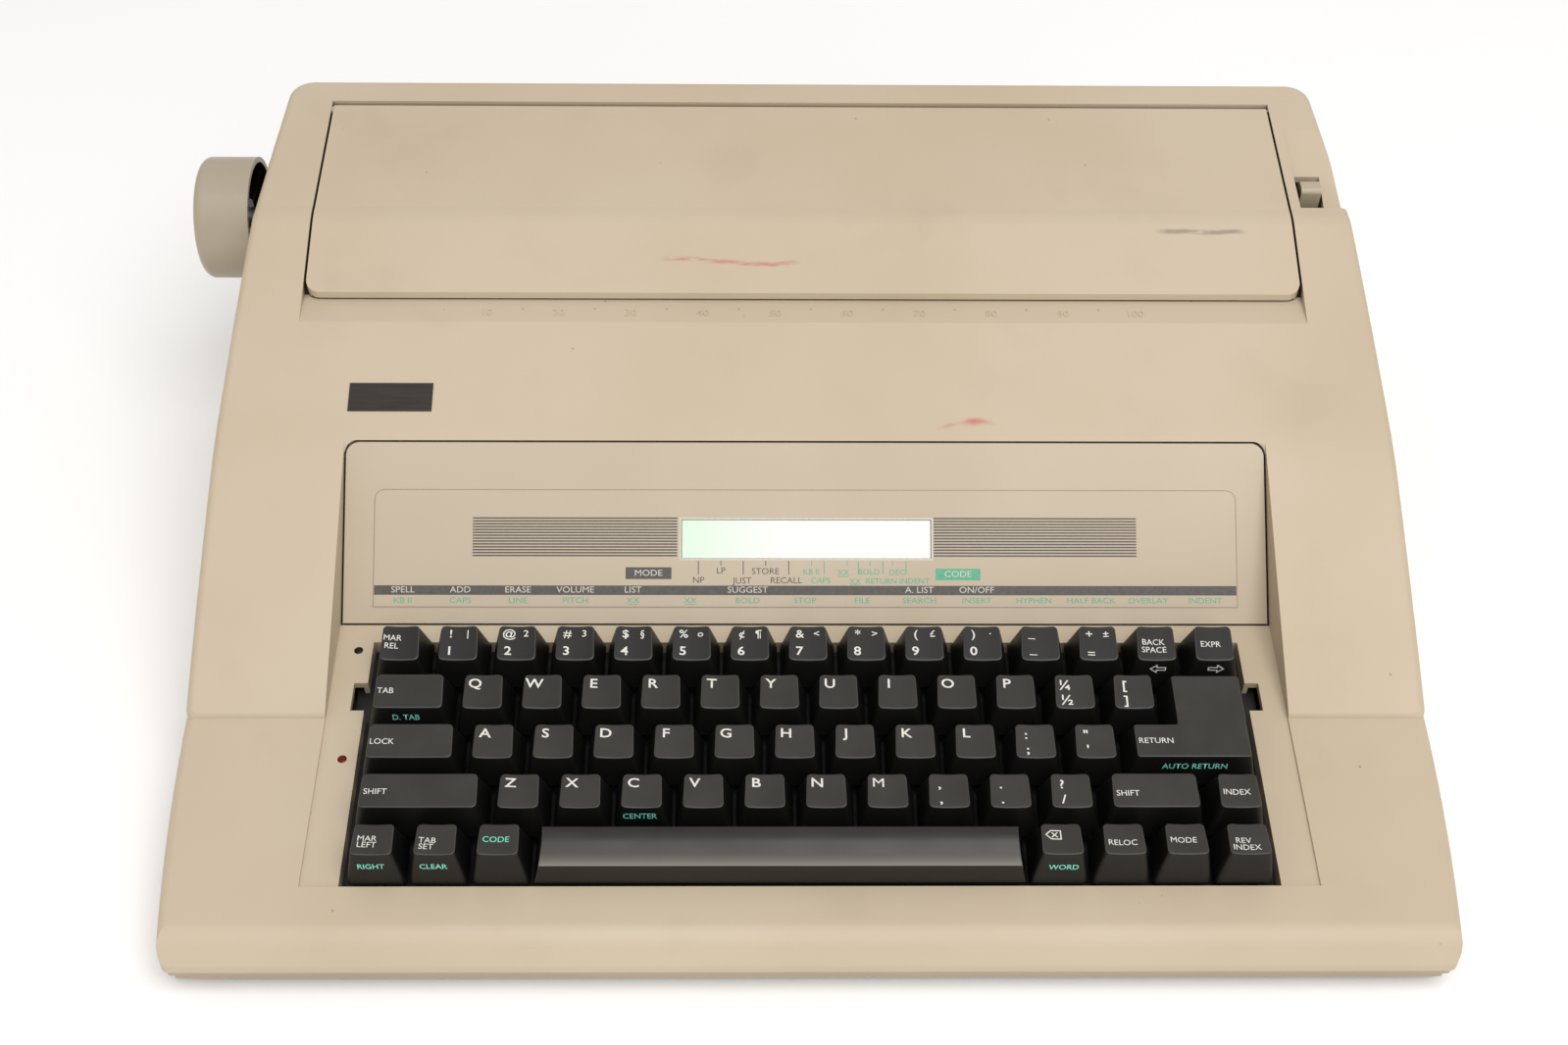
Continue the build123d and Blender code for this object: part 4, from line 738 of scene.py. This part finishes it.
def model_cap(name, units, row, dish):
    """One cap on its own origin, dished across, with its row's tilt."""
    half = (units * UNIT - GAP) / 2
    low_y = FRONT_ROW_TRIM - HALF if row == 5 else -HALF
    depth_y, shift_y = TOP_DEPTH[row], TOP_SHIFT[row]
    columns = max(6, min(24, int(units * 6)))
    top = TOP_H + RAISE[row]
    front = half - FRONT_INSET
    cap = begin(name, "grid", 2 * front, depth_y, x_subdivisions=columns, y_subdivisions=6)
    move(0, shift_y, top)

    # The rim goes down and out into the skirt.
    bpy.ops.mesh.region_to_loop()
    draw_out(0, 0, SKIRT_H - top)
    stretch(half / front, (HALF - low_y) / depth_y, 1, shift_y)
    move(0, (HALF + low_y) / 2 - shift_y, 0)

    # The columns between the two sides are lowered into the dish.
    for column in range(1, columns):
        x = (2 * column / columns - 1) * front
        pick_points(cap, lambda p: p.z > 5 * MM and abs(p.x - x * MM) < SAME)
        move(0, 0, -dish * (1 - (x / front) ** 2))

    # The rows are narrowed to the rear and tilted.
    for line in range(7):
        y = (line / 6 - 0.5) * depth_y
        pick_points(cap, lambda p: p.z > 5 * MM and abs(p.y - (y + shift_y) * MM) < SAME)
        stretch(1 - (REAR_INSET - FRONT_INSET) / front * line / 6, 1, 1)
        move(0, 0, y * math.tan(math.radians(TILT[row])))

    round_cap(cap, half, low_y, HALF)
    thicken(cap)
    return cap


def model_bar(name, units):
    """The space bar, whose top falls away to the front in a curve."""
    half = (units * UNIT - GAP) / 2
    top = TOP_H + RAISE[5]
    drop, reach = top - BAR_FRONT_H, BAR_FLAT_Y - BAR_FRONT_Y
    radius = (reach ** 2 + drop ** 2) / (2 * drop)
    lines = 12
    depth = BAR_REAR_Y - BAR_FRONT_Y
    bar = begin(name, "grid", 2 * half, depth, x_subdivisions=24, y_subdivisions=lines)
    move(0, (BAR_REAR_Y + BAR_FRONT_Y) / 2, SKIRT_H)

    # The rim goes out into the skirt's foot, and the rows are then raised to the curve.
    bpy.ops.mesh.region_to_loop()
    draw_out(0, 0, -1)
    foot = (SKIRT_H - 0.5) * MM
    for line in range(lines + 1):
        y = BAR_FRONT_Y + depth * line / lines
        height = top - BAR_REAR_DROP * (y - BAR_FLAT_Y) / (BAR_REAR_Y - BAR_FLAT_Y)
        if y < BAR_FLAT_Y:
            height = top - radius + math.sqrt(radius ** 2 - (BAR_FLAT_Y - y) ** 2)
        pick_points(bar, lambda p: p.z > foot and abs(p.y - y * MM) < SAME)
        stretch(1 - REAR_INSET / half * (height - SKIRT_H) / (top - SKIRT_H), 1, 1)
        move(0, 0, height - SKIRT_H)
    for old_y, new_y in ((BAR_FRONT_Y, FRONT_ROW_TRIM - HALF), (BAR_REAR_Y, HALF)):
        pick_points(bar, lambda p: p.z < foot and abs(p.y - old_y * MM) < SAME)
        move(0, new_y - old_y, 0)
    pick_points(bar, lambda p: p.z < foot)
    move(0, 0, 1)

    # The edge round the top is rounded a little.
    pick_faces(bar, lambda centre, normal: abs(normal.x) < 0.7 and abs(normal.y) < 0.9)
    bpy.ops.mesh.region_to_loop()
    round_off(0.35, 2)
    thicken(bar, 28)
    return bar


first = model_cap("trial_cap", 1, 2, FULL_DISH)
print("cap", len(first.data.polygons), "faces, size in mm", [round(v / MM, 2) for v in first.dimensions])
bpy.data.objects.remove(first)

# %% [markdown]
# Under each cap stands a square stem that slides in the plate's chimney. It starts as a cube, which is
# stretched, rounded on its upright edges and narrowed at its foot. The return key is L shaped: one flat
# square is drawn out to the rear and to the left, then inset upwards.

# %% Stem and return cap
def model_stem():
    """The stem below a cap."""
    stem = begin("stem", "cube", 5.8, 5.8, 20)
    move(0, 0, -0.9)
    pick_edges(stem, lambda a, b: abs(a.z - b.z) > MM)
    round_off(0.5, 2)
    pick_faces(stem, lambda centre, normal: normal.z < -0.9)
    inset(0.6, 0.1)
    object_mode()
    return stem


def model_return():
    """The L shaped return cap in deck coordinates."""
    edge = GAP / 2
    left, step_x, right = key_x(12.75) + edge, key_x(13.5) + edge, key_x(15) - edge
    low = ROW_S[3] - UNIT / 2 + edge
    step = ROW_S[3] + UNIT / 2 - edge
    high = ROW_S[2] + UNIT / 2 - edge
    cap = begin("return_cap", "plane", right - step_x, step - low)
    move((right + step_x) / 2, (step + low) / 2, SKIRT_H)
    pick_edges(cap, lambda a, b: min(a.y, b.y) > (step - 0.1) * MM)
    draw_out(0, high - step, 0)
    pick_edges(cap, lambda a, b: max(a.x, b.x) < (step_x + 0.1) * MM and max(a.y, b.y) < (step + 0.1) * MM)
    draw_out(left - step_x, 0, 0)
    pick_faces(cap)
    bpy.ops.mesh.normals_make_consistent(inside=False)
    object_mode()
    if cap.data.polygons[0].normal.z < 0:
        edit_mode()
        select_all()
        bpy.ops.mesh.flip_normals()
    pick_faces(cap)
    inset(2.9, TOP_H + RAISE[3] - SKIRT_H)
    move(0, -0.6, 0)
    pick_edges(cap, lambda a, b: abs(a.z - b.z) > 5 * MM)
    round_off(0.9, 3)
    round_top(cap)
    thicken(cap)
    return cap


# %% [markdown]
# Each row of character keys is one body, so its caps are copied from one model and joined. The single keys
# beside them have their own widths and their own models.

# %% Lay out the keyboard
def copy_to(piece, x, s):
    """A copy with its own mesh, moved on the deck by x and s in mm."""
    copy = piece.copy()
    copy.data = piece.data.copy()
    bpy.context.scene.collection.objects.link(copy)
    return lay(copy, x, s, 0)


def join_up(pieces, name):
    """Join several pieces into one."""
    only(pieces[0])
    for piece in pieces[1:]:
        piece.select_set(True)
    if len(pieces) > 1:
        bpy.ops.object.join()
    whole = bpy.context.view_layer.objects.active
    whole.name = name
    return whole


character_rows = {
    "digit_row_keys": (1, 12, 1),
    "upper_letter_row_keys": (1.5, 12, 2),
    "home_row_keys": (1.75, 11, 3),
    "lower_letter_row_keys": (2.25, 10, 4),
}
function_keys = {
    "margin_release_key": (0, 1, 1), "backspace_key": (13, 1, 1), "express_key": (14, 1, 1),
    "tab_key": (0, 1.5, 2), "lock_key": (0, 1.75, 3), "left_shift_key": (0, 2.25, 4),
    "right_shift_key": (12.25, 1.75, 4), "index_key": (14, 1, 4), "margin_left_key": (0, 1, 5),
    "tab_set_key": (1, 1, 5), "code_key": (2, 1, 5), "space_bar": (3, 8, 5), "correction_key": (11, 1, 5),
    "relocate_key": (12, 1, 5), "mode_key": (13, 1, 5), "reverse_index_key": (14, 1, 5),
}
single_caps = {row: model_cap("single_cap_%d" % row, 1, row, FULL_DISH) for row in range(1, 6)}
stem_model = model_stem()
caps = {}
for name, (start, count, row) in character_rows.items():
    made = []
    for place in range(count):
        x = key_x(start + place + 0.5)
        made += [copy_to(single_caps[row], x, ROW_S[row]), copy_to(stem_model, x, ROW_S[row])]
    caps[name] = join_up(made, name + "_caps")
for name, (start, units, row) in function_keys.items():
    x = key_x(start + units / 2)
    if units == 1:
        cap = copy_to(single_caps[row], x, ROW_S[row])
    else:
        wide = model_bar(name, units) if name == "space_bar" else model_cap(name, units, row, SLIGHT_DISH)
        cap = lay(wide, x, ROW_S[row], 0)
    caps[name] = join_up([cap, copy_to(stem_model, x, ROW_S[row])], name + "_caps")
return_stem = copy_to(stem_model, key_x(13.875), ROW_S[3])
caps["return_key"] = join_up([model_return(), return_stem], "return_key_caps")
for model in [*single_caps.values(), stem_model]:
    bpy.data.objects.remove(model)
for name, cap in caps.items():
    paint(cap, bar_plastic if name == "space_bar" else key_plastic)
print("keys", len(caps), "faces", sum(len(cap.data.polygons) for cap in caps.values()))

# %% [markdown]
# ## Legends
# Legends are printed on the caps. Each is a text object made into a mesh. All the words of one key or row are
# joined, held above the caps and pressed down onto them with a Shrinkwrap, so they follow the dish. Words on
# the front of a skirt are pressed on from the front.

# %% Words as meshes
UPRIGHT = Matrix.Rotation(math.radians(90), 4, "X")


def words(text, height, x, y, bold, wide=1.15):
    """Flat lettering in mm: cap height, middle place, extra weight and extra width."""
    bpy.ops.object.select_all(action="DESELECT")
    bpy.ops.object.text_add()
    label = bpy.context.object
    label.data.body = text
    label.data.size = height / 0.72 * MM
    label.data.offset = bold * MM
    label.data.align_x = "CENTER"
    label.data.align_y = "CENTER"
    label.data.resolution_u = 3
    bpy.ops.object.convert(target="MESH")
    return lay(bpy.context.object, x, y, 0, Matrix.Diagonal((wide, 1, 1, 1)))


def press_on(label, cap, axis):
    """Press lettering onto a cap along Z or Y, and leave it a hair above the surface."""
    only(label)
    modify(label, "SHRINKWRAP", wrap_method="PROJECT", target=cap, use_project_z=axis == "Z",
           use_project_y=axis == "Y", use_negative_direction=axis == "Z", use_positive_direction=axis == "Y",
           offset=0.05 * MM)
    return label


labels = {}


def label_key(name, tops, skirts=()):
    """Print one key or row, each face in one ink. Words are (text, height, x, y, ink, bold, wide) in mm."""
    made = []
    for face, entries in (("top", tops), ("skirt", skirts)):
        if not entries:
            continue
        colour = entries[0][4]
        parts = [words(*entry[:4], *entry[5:]) for entry in entries]
        label = join_up(parts, "%s_%s_%s" % (name.rsplit("_key", 1)[0], face, colour.name))
        paint(label, colour)
        if face == "top":
            made.append(press_on(lay(label, 0, 0, 30), caps[name], "Z"))
        else:
            made.append(press_on(lay(label, 0, -50, 0, UPRIGHT), caps[name], "Y"))
    labels[name] = made


# %% Legends of the character rows
def small(text, x, y, height=2.05):
    """A small word on a cap's top."""
    return (text, height, x, y, white_ink, 0.0, 1.02)


def skirt_word(text, x, up, wide=0.9):
    """A green word on the front of a skirt."""
    return (text, 2.3, x, up, bright_green_ink, 0.03, wide)


digit_legends = [
    ("!", "|", "1"), ("@", "2", "2"), ("#", "3", "3"), ("$", "§", "4"), ("%", "o", "5"),
    ("¢", "¶", "6"), ("&", "<", "7"), ("*", ">", "8"), ("(", "£", "9"), (")", "·", "0"),
    ("_", "", "–"), ("+", "±", "="),
]
letter_rows = {
    "upper_letter_row_keys": "QWERTYUIOP",
    "home_row_keys": "ASDFGHJKL",
    "lower_letter_row_keys": "ZXCVBNM",
}
paired_signs = {
    "upper_letter_row_keys": [("¼", "½"), ("[", "]")],
    "home_row_keys": [(":", ";"), ("\"", "'")],
    "lower_letter_row_keys": [(",", ","), (".", "."), ("?", "/")],
}


def top_centre(start, row, units=1):
    """Middle of a cap's top on the deck, in mm."""
    return key_x(start + units / 2), ROW_S[row] + TOP_SHIFT[row]


tops = []
for place, (shifted, extra, digit) in enumerate(digit_legends):
    x, y = top_centre(1 + place, 1)
    tops.append((shifted, 2.8, x - 2.7, y + 3.1, white_ink, 0.03, 1.15))
    if extra:
        tops.append((extra, 2.3, x + 2.8, y + 3.2, white_ink, 0.02, 1.15))
    drop, weight = (1.0, 0.0) if digit in "–=" else (0.0, 0.06)
    tops.append((digit, 3.0, x - 2.9 + 0.5 * drop, y - 2.9 - drop, white_ink, weight, 1.2))
label_key("digit_row_keys", tops)
for name, letters in letter_rows.items():
    start, count, row = character_rows[name]
    tops, skirts = [], []
    for place, letter in enumerate(letters):
        x, y = top_centre(start + place, row)
        weight = 0.0 if letter == "M" else 0.06
        tops.append((letter, 3.25, x - 2.75, y + 2.7, white_ink, weight, 1.2))
        if letter == "C":
            skirts.append(skirt_word("CENTER", x - 0.6, 8.7))
    for place, (upper, lower) in enumerate(paired_signs[name]):
        x, y = top_centre(start + len(letters) + place, row)
        height = 3.5 if upper == "¼" else 3.1
        tops.append((upper, height, x - 2.8, y + 2.1, white_ink, 0.06, 1.15))
        tops.append((lower, height, x - 2.5, y - 3.2, white_ink, 0.06, 1.15))
    label_key(name, tops, skirts)
print("legend pieces", sum(len(made) for made in labels.values()))

# %% Legends of the single keys
def centre_of(name):
    """Middle of a key's top on the deck, in mm."""
    start, units, row = function_keys[name]
    return top_centre(start, row, units)


plain_tops = {
    "margin_release_key": [("MAR", -2.7, 1.7), ("REL", -2.9, -1.1)],
    "backspace_key": [("BACK", -0.9, 0.3), ("SPACE", -0.8, -2.4)],
    "express_key": [("EXPR", -1.1, -0.4)],
    "tab_key": [("TAB", -7.5, 0.0)],
    "lock_key": [("LOCK", -8.9, -0.4)],
    "left_shift_key": [("SHIFT", -13.4, -0.5)],
    "right_shift_key": [("SHIFT", -8.7, -1.2)],
    "index_key": [("INDEX", -0.9, -0.6)],
    "margin_left_key": [("MAR", -1.8, 0.3), ("LEFT", -1.7, -2.0)],
    "tab_set_key": [("TAB", -2.5, -0.4), ("SET", -2.7, -2.7)],
    "relocate_key": [("RELOC", -0.6, -1.4)],
    "mode_key": [("MODE", -1.0, -0.5)],
    "reverse_index_key": [("REV", -1.8, -0.7), ("INDEX", -1.0, -3.2)],
}
green_skirts = {
    "tab_key": ("D. TAB", -0.8, 7.4),
    "margin_left_key": ("RIGHT", -0.6, 8.6),
    "tab_set_key": ("CLEAR", -0.7, 8.6),
}
for name, entries in plain_tops.items():
    x, y = centre_of(name)
    tops = [small(text, x + dx, y + dy) for text, dx, dy in entries]
    skirts = []
    if name in green_skirts:
        text, dx, up = green_skirts[name]
        skirts.append(skirt_word(text, x + dx, up))
    label_key(name, tops, skirts)
x, y = centre_of("code_key")
code_word = ("CODE", 2.1, x - 0.8, y - 0.1, bright_green_ink, 0.0, 1.02)
label_key("code_key", [code_word])
x, y = centre_of("correction_key")
label_key("correction_key", [small("⌫", x - 2.5, y + 1.2, 3.4)], [skirt_word("WORD", x + 0.7, 8.0)])
tops = [small("RETURN", key_x(12.75) + 9.8, ROW_S[3] - 0.8, 2.1)]
skirts = [skirt_word("AUTO RETURN", key_x(13.9), 7.9, 0.95)]
label_key("return_key", tops, skirts)
print("labelled", sorted(labels))

# %% [markdown]
# The two arrows on the skirts of the upper right keys are outlines. Each is drawn as one flat shape: a plane
# is stretched into the shaft and its end is drawn out and widened into the head, then everything inside a
# thin border is taken away.

# %% Arrows
def arrow(name, direction):
    """An outlined arrow, 5.5 mm long, pointing along X by direction."""
    shape = begin(name, "plane", 2.9, 1.5)
    move(-1.2, 0, 0)
    pick_edges(shape, lambda a, b: min(a.x, b.x) > 0.1 * MM)
    draw_out(0.05, 0, 0)
    stretch(1, 2.5, 1)
    draw_out(2.4, 0, 0)
    stretch(1, 0.05, 1)
    select_all()
    bpy.ops.mesh.dissolve_limited(angle_limit=math.radians(1))
    select_all()
    inset(0.38)
    bpy.ops.mesh.delete(type="FACE")
    object_mode()
    shape.data.transform(Matrix.Diagonal((direction, 1, 1, 1)))
    return shape


for name, direction in (("backspace_key", -1), ("express_key", 1)):
    x, y = centre_of(name)
    shape = arrow(name[:-4] + "_arrow", direction)
    lay(paint(shape, white_ink), x + 0.6, -50, 7.7, UPRIGHT)
    labels[name].append(press_on(shape, caps[name], "Y"))
print("arrows done")

# %% Set the keyboard down on the deck
for name, cap in caps.items():
    for piece in (cap, *labels.get(name, [])):
        seat(piece, deck, name)
    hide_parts(name)
print("keyboard set down")

# %% [markdown]
# ## Print on the display panel
# The panel carries a thin overlay sheet with a window for the display. It is a plane with two rounded
# corners. Two pairs of straight cuts mark the window, which is taken out, and the sheet gets a thickness. A
# thin brown line round it is painted shadow of the sheet's edge. The hatched fields, the dark stripe and
# the words are printed on it.

# %% Overlay sheet
SHEET_X, SHEET_LOW, SHEET_HIGH = 146.4, 6.1, 46.2
WINDOW = (-42.5, 42.5, 22.7, 36.0)


def strip(name, x0, x1, y0, y1, material, lift=0.0):
    """A flat printed bar in mm, on a plane's own coordinates."""
    bar = begin(name, "plane", x1 - x0, y1 - y0)
    move((x0 + x1) / 2, (y0 + y1) / 2, lift)
    object_mode()
    return paint(bar, material)


def cut_out(sheet, x0, x1, y0, y1):
    """Cut a rectangular window in a flat sheet, in mm."""
    for x, y, direction in ((x0, 0, (1, 0, 0)), (x1, 0, (1, 0, 0)), (0, y0, (0, 1, 0)), (0, y1, (0, 1, 0))):
        only(sheet)
        edit_mode()
        select_all()
        bpy.ops.mesh.bisect(plane_co=(x * MM, y * MM, 0), plane_no=direction)
    pick_faces(sheet, lambda c, n: x0 * MM < c.x < x1 * MM and y0 * MM < c.y < y1 * MM)
    bpy.ops.mesh.delete(type="FACE")
    object_mode()


def round_sheet(name, material, lift):
    """A strip as large as the overlay, with its two upper corners rounded."""
    sheet = strip(name, -SHEET_X, SHEET_X, SHEET_LOW, SHEET_HIGH, material, lift)
    pick_points(sheet, lambda p: p.y > (SHEET_HIGH - 0.1) * MM)
    round_off(3.5, 8, "VERTICES")
    object_mode()
    return sheet


overlay = round_sheet("panel_overlay", panel_plastic, 0)
cut_out(overlay, *WINDOW)
only(overlay)
modify(overlay, "SOLIDIFY", thickness=0.15 * MM, offset=1)
# Painted shadow: a thin brown line along the edge of the overlay sheet.
edge_shadow_line = round_sheet("panel_edge_shadow", edge_shadow_ink, 0.17)
pick_faces(edge_shadow_line)
inset(0.28)
bpy.ops.mesh.delete(type="FACE")
object_mode()
print("overlay", len(overlay.data.polygons), "edge_shadow_line", len(edge_shadow_line.data.polygons))

# %% Hatching, stripe and pills
LIFT = 0.19
hatch = []
for left, right in ((-113.0, -43.8), (43.2, 112.2)):
    for line in range(14):
        y = 23.4 + 0.98 * line
        hatch.append(strip("hatch", left, right, y, y + 0.5, dark_ink, LIFT))
hatch = join_up(hatch, "panel_hatching")
grown = [edge + side for edge, side in zip(WINDOW, (-0.6, 0.6, -0.6, 0.6))]
window_line = strip("window_line", *grown, pale_ink, 0.16)
cut_out(window_line, *WINDOW)
dark_stripe = strip("panel_stripe", -146.0, 146.0, 10.3, 13.5, dark_ink, LIFT)
mode_pill = strip("mode_pill", -61.2, -45.7, 15.7, 19.7, dark_ink, LIFT)
code_pill = strip("code_pill", 43.8, 59.0, 15.4, 19.3, green_ink, LIFT)


def tick_marks(name, places, half, material):
    """Fine upright lines from the window down to their words; every second word stands on the lower line."""
    ticks = []
    for x, low in places:
        ticks.append(strip("tick", x - half, x + half, low, 21.9, material, LIFT))
    return join_up(ticks, name)


UPPER, LOWER = 20.3, 17.3
dark_ticks = tick_marks("panel_ticks_dark", [
    (-36.6, LOWER), (-29.0, UPPER), (-21.4, LOWER), (-13.8, UPPER), (-6.0, LOWER)], 0.15, dark_ink)
green_ticks = tick_marks("panel_ticks_green", [
    (1.8, UPPER), (6.0, LOWER), (13.8, UPPER), (17.6, LOWER), (21.6, UPPER), (26.0, LOWER), (29.2, UPPER),
    (33.8, LOWER)], 0.13, green_ink)
print("hatching faces", len(hatch.data.polygons))

# %% Words on the panel
def printed(name, entries, height, material, lift, wide=1.15):
    """Several words printed in one ink on the panel."""
    parts = [words(text, height, x, y, 0.0, wide) for text, x, y in entries]
    return lay(paint(join_up(parts, name), material), 0, 0, lift)


def in_line(texts, y):
    """Words at the even steps of the panel's two long lines, keyed by their step."""
    return [(text, PRINT_LEFT + PRINT_STEP * place, y) for place, text in texts.items()]


PRINT_LEFT, PRINT_STEP = -136.3, 19.4
stripe_words = in_line({0: "SPELL", 1: "ADD", 2: "ERASE", 3: "VOLUME", 4: "LIST", 6: "SUGGEST", 9: "A. LIST",
                        10: "ON/OFF"}, 12.0)
green_words = in_line(dict(enumerate((
    "KB II", "CAPS", "LINE", "PITCH", "XX", "XX", "BOLD", "STOP", "FILE", "SEARCH", "INSERT", "HYPHEN",
    "HALF BACK", "OVERLAY", "INDENT"))), 8.4)
dark_words = [("NP", -36.6, 15.3), ("LP", -29.0, 18.5), ("JUST", -21.7, 15.1), ("STORE", -13.9, 18.3),
              ("RECALL", -6.9, 15.2)]
mode_words = [("KB II", 1.6, 18.1), ("CAPS", 4.8, 15.2), ("XX", 12.5, 17.9), ("XX", 16.5, 14.9),
              ("BOLD", 21.2, 18.1), ("RETURN", 25.4, 15.0), ("DEC", 30.8, 18.0), ("INDENT", 36.6, 15.0)]
underlines = []
for _, x, y in [*in_line({4: "XX", 5: "XX"}, 7.1), ("XX", 12.5, 16.6), ("XX", 16.5, 13.9)]:
    underlines.append(strip("underline", x - 1.7, x + 1.7, y - 0.08, y + 0.12, green_ink, LIFT))
panel_print = [
    overlay, edge_shadow_line, hatch, window_line, dark_stripe, mode_pill, code_pill, dark_ticks, green_ticks,
    join_up(underlines, "panel_underlines"),
    printed("panel_stripe_words", stripe_words, 2.15, pale_ink, LIFT + 0.04, 1.1),
    printed("panel_green_words", green_words, 2.0, green_ink, LIFT),
    printed("panel_dark_words", dark_words, 2.15, dark_ink, LIFT, 1.05),
    printed("panel_mode_words", mode_words, 1.95, green_ink, LIFT, 1.05),
    printed("mode_pill_word", [("MODE", -53.5, 17.7)], 2.1, pale_ink, LIFT + 0.04),
    printed("code_pill_word", [("CODE", 51.4, 17.4)], 2.1, pale_ink, LIFT + 0.04),
]
for piece in panel_print:
    seat(piece, panel, "display_panel")
print("panel pieces", len(panel_print))

# %% [markdown]
# ## Small pieces
# The margin scale in front of the lid is moulded in raised figures in the case's own colour. The dark plate
# on the slope is bare. The two lamps are small lenses: a circle is filled, raised and rounded.

# %% Margin scale
figures = []
for place in range(10):
    x = -112 + 25.4 * place
    figures.append(words(str(10 * (place + 1)), 3.4, x, 4.6, 0.0, 0.95))
    if place < 9:
        figures.append(words("·", 4.0, x + 12.7, 6.6, 0.05))
scale_figures = join_up(figures, "margin_scale")
modify(scale_figures, "SOLIDIFY", thickness=0.25 * MM, offset=1)
seat(paint(scale_figures, case_plastic), scoop, "upper_case")
print("scale faces", len(scale_figures.data.polygons))

# %% Bare plate
plate = strip("bare_plate", -14.35, 14.35, 0, 11.0, badge_metal)
only(plate)
edit_mode()
select_all()
draw_out(0, 0, 0.5)
pick_edges(plate, lambda a, b: min(a.z, b.z) > 0.4 * MM)
round_off(0.15, 2)
face_out()
object_mode()
seat(lay(plate, -142.6, 14.1, -0.05), slope, "upper_case")
print("plate", [round(v / MM, 1) for v in plate.dimensions])

# %% Lamps
def lens(name, x, s, material):
    """A small domed lens in its hole on the deck."""
    bpy.ops.mesh.primitive_circle_add(vertices=24, radius=1.5 * MM, fill_type="NGON")
    lamp = bpy.context.object
    lamp.name = name
    edit_mode()
    select_all()
    draw_out(0, 0, 4.6)
    for thickness, height in ((0.25, 0.30), (0.35, 0.20), (0.45, 0.10)):
        inset(thickness, height)
    face_out()
    object_mode()
    bpy.ops.object.shade_smooth_by_angle(angle=math.radians(60))
    seat(lay(paint(lamp, material), x, s, -5.9), deck, "indicator_lamps")
    return lamp


lamps = [lens("lamp_lens_dark", -149.7, 62.4, glossy_dark), lens("lamp_lens_red", -149.7, 19.1, glossy_red)]
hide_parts("indicator_lamps")
print("lamps", len(lamps))

# %% Finish
left_over = [name for name in nodes if name not in dressed and name not in caps and name != "indicator_lamps"]
print("nodes without a dressed piece", left_over)
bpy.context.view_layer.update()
bpy.ops.object.select_all(action="DESELECT")
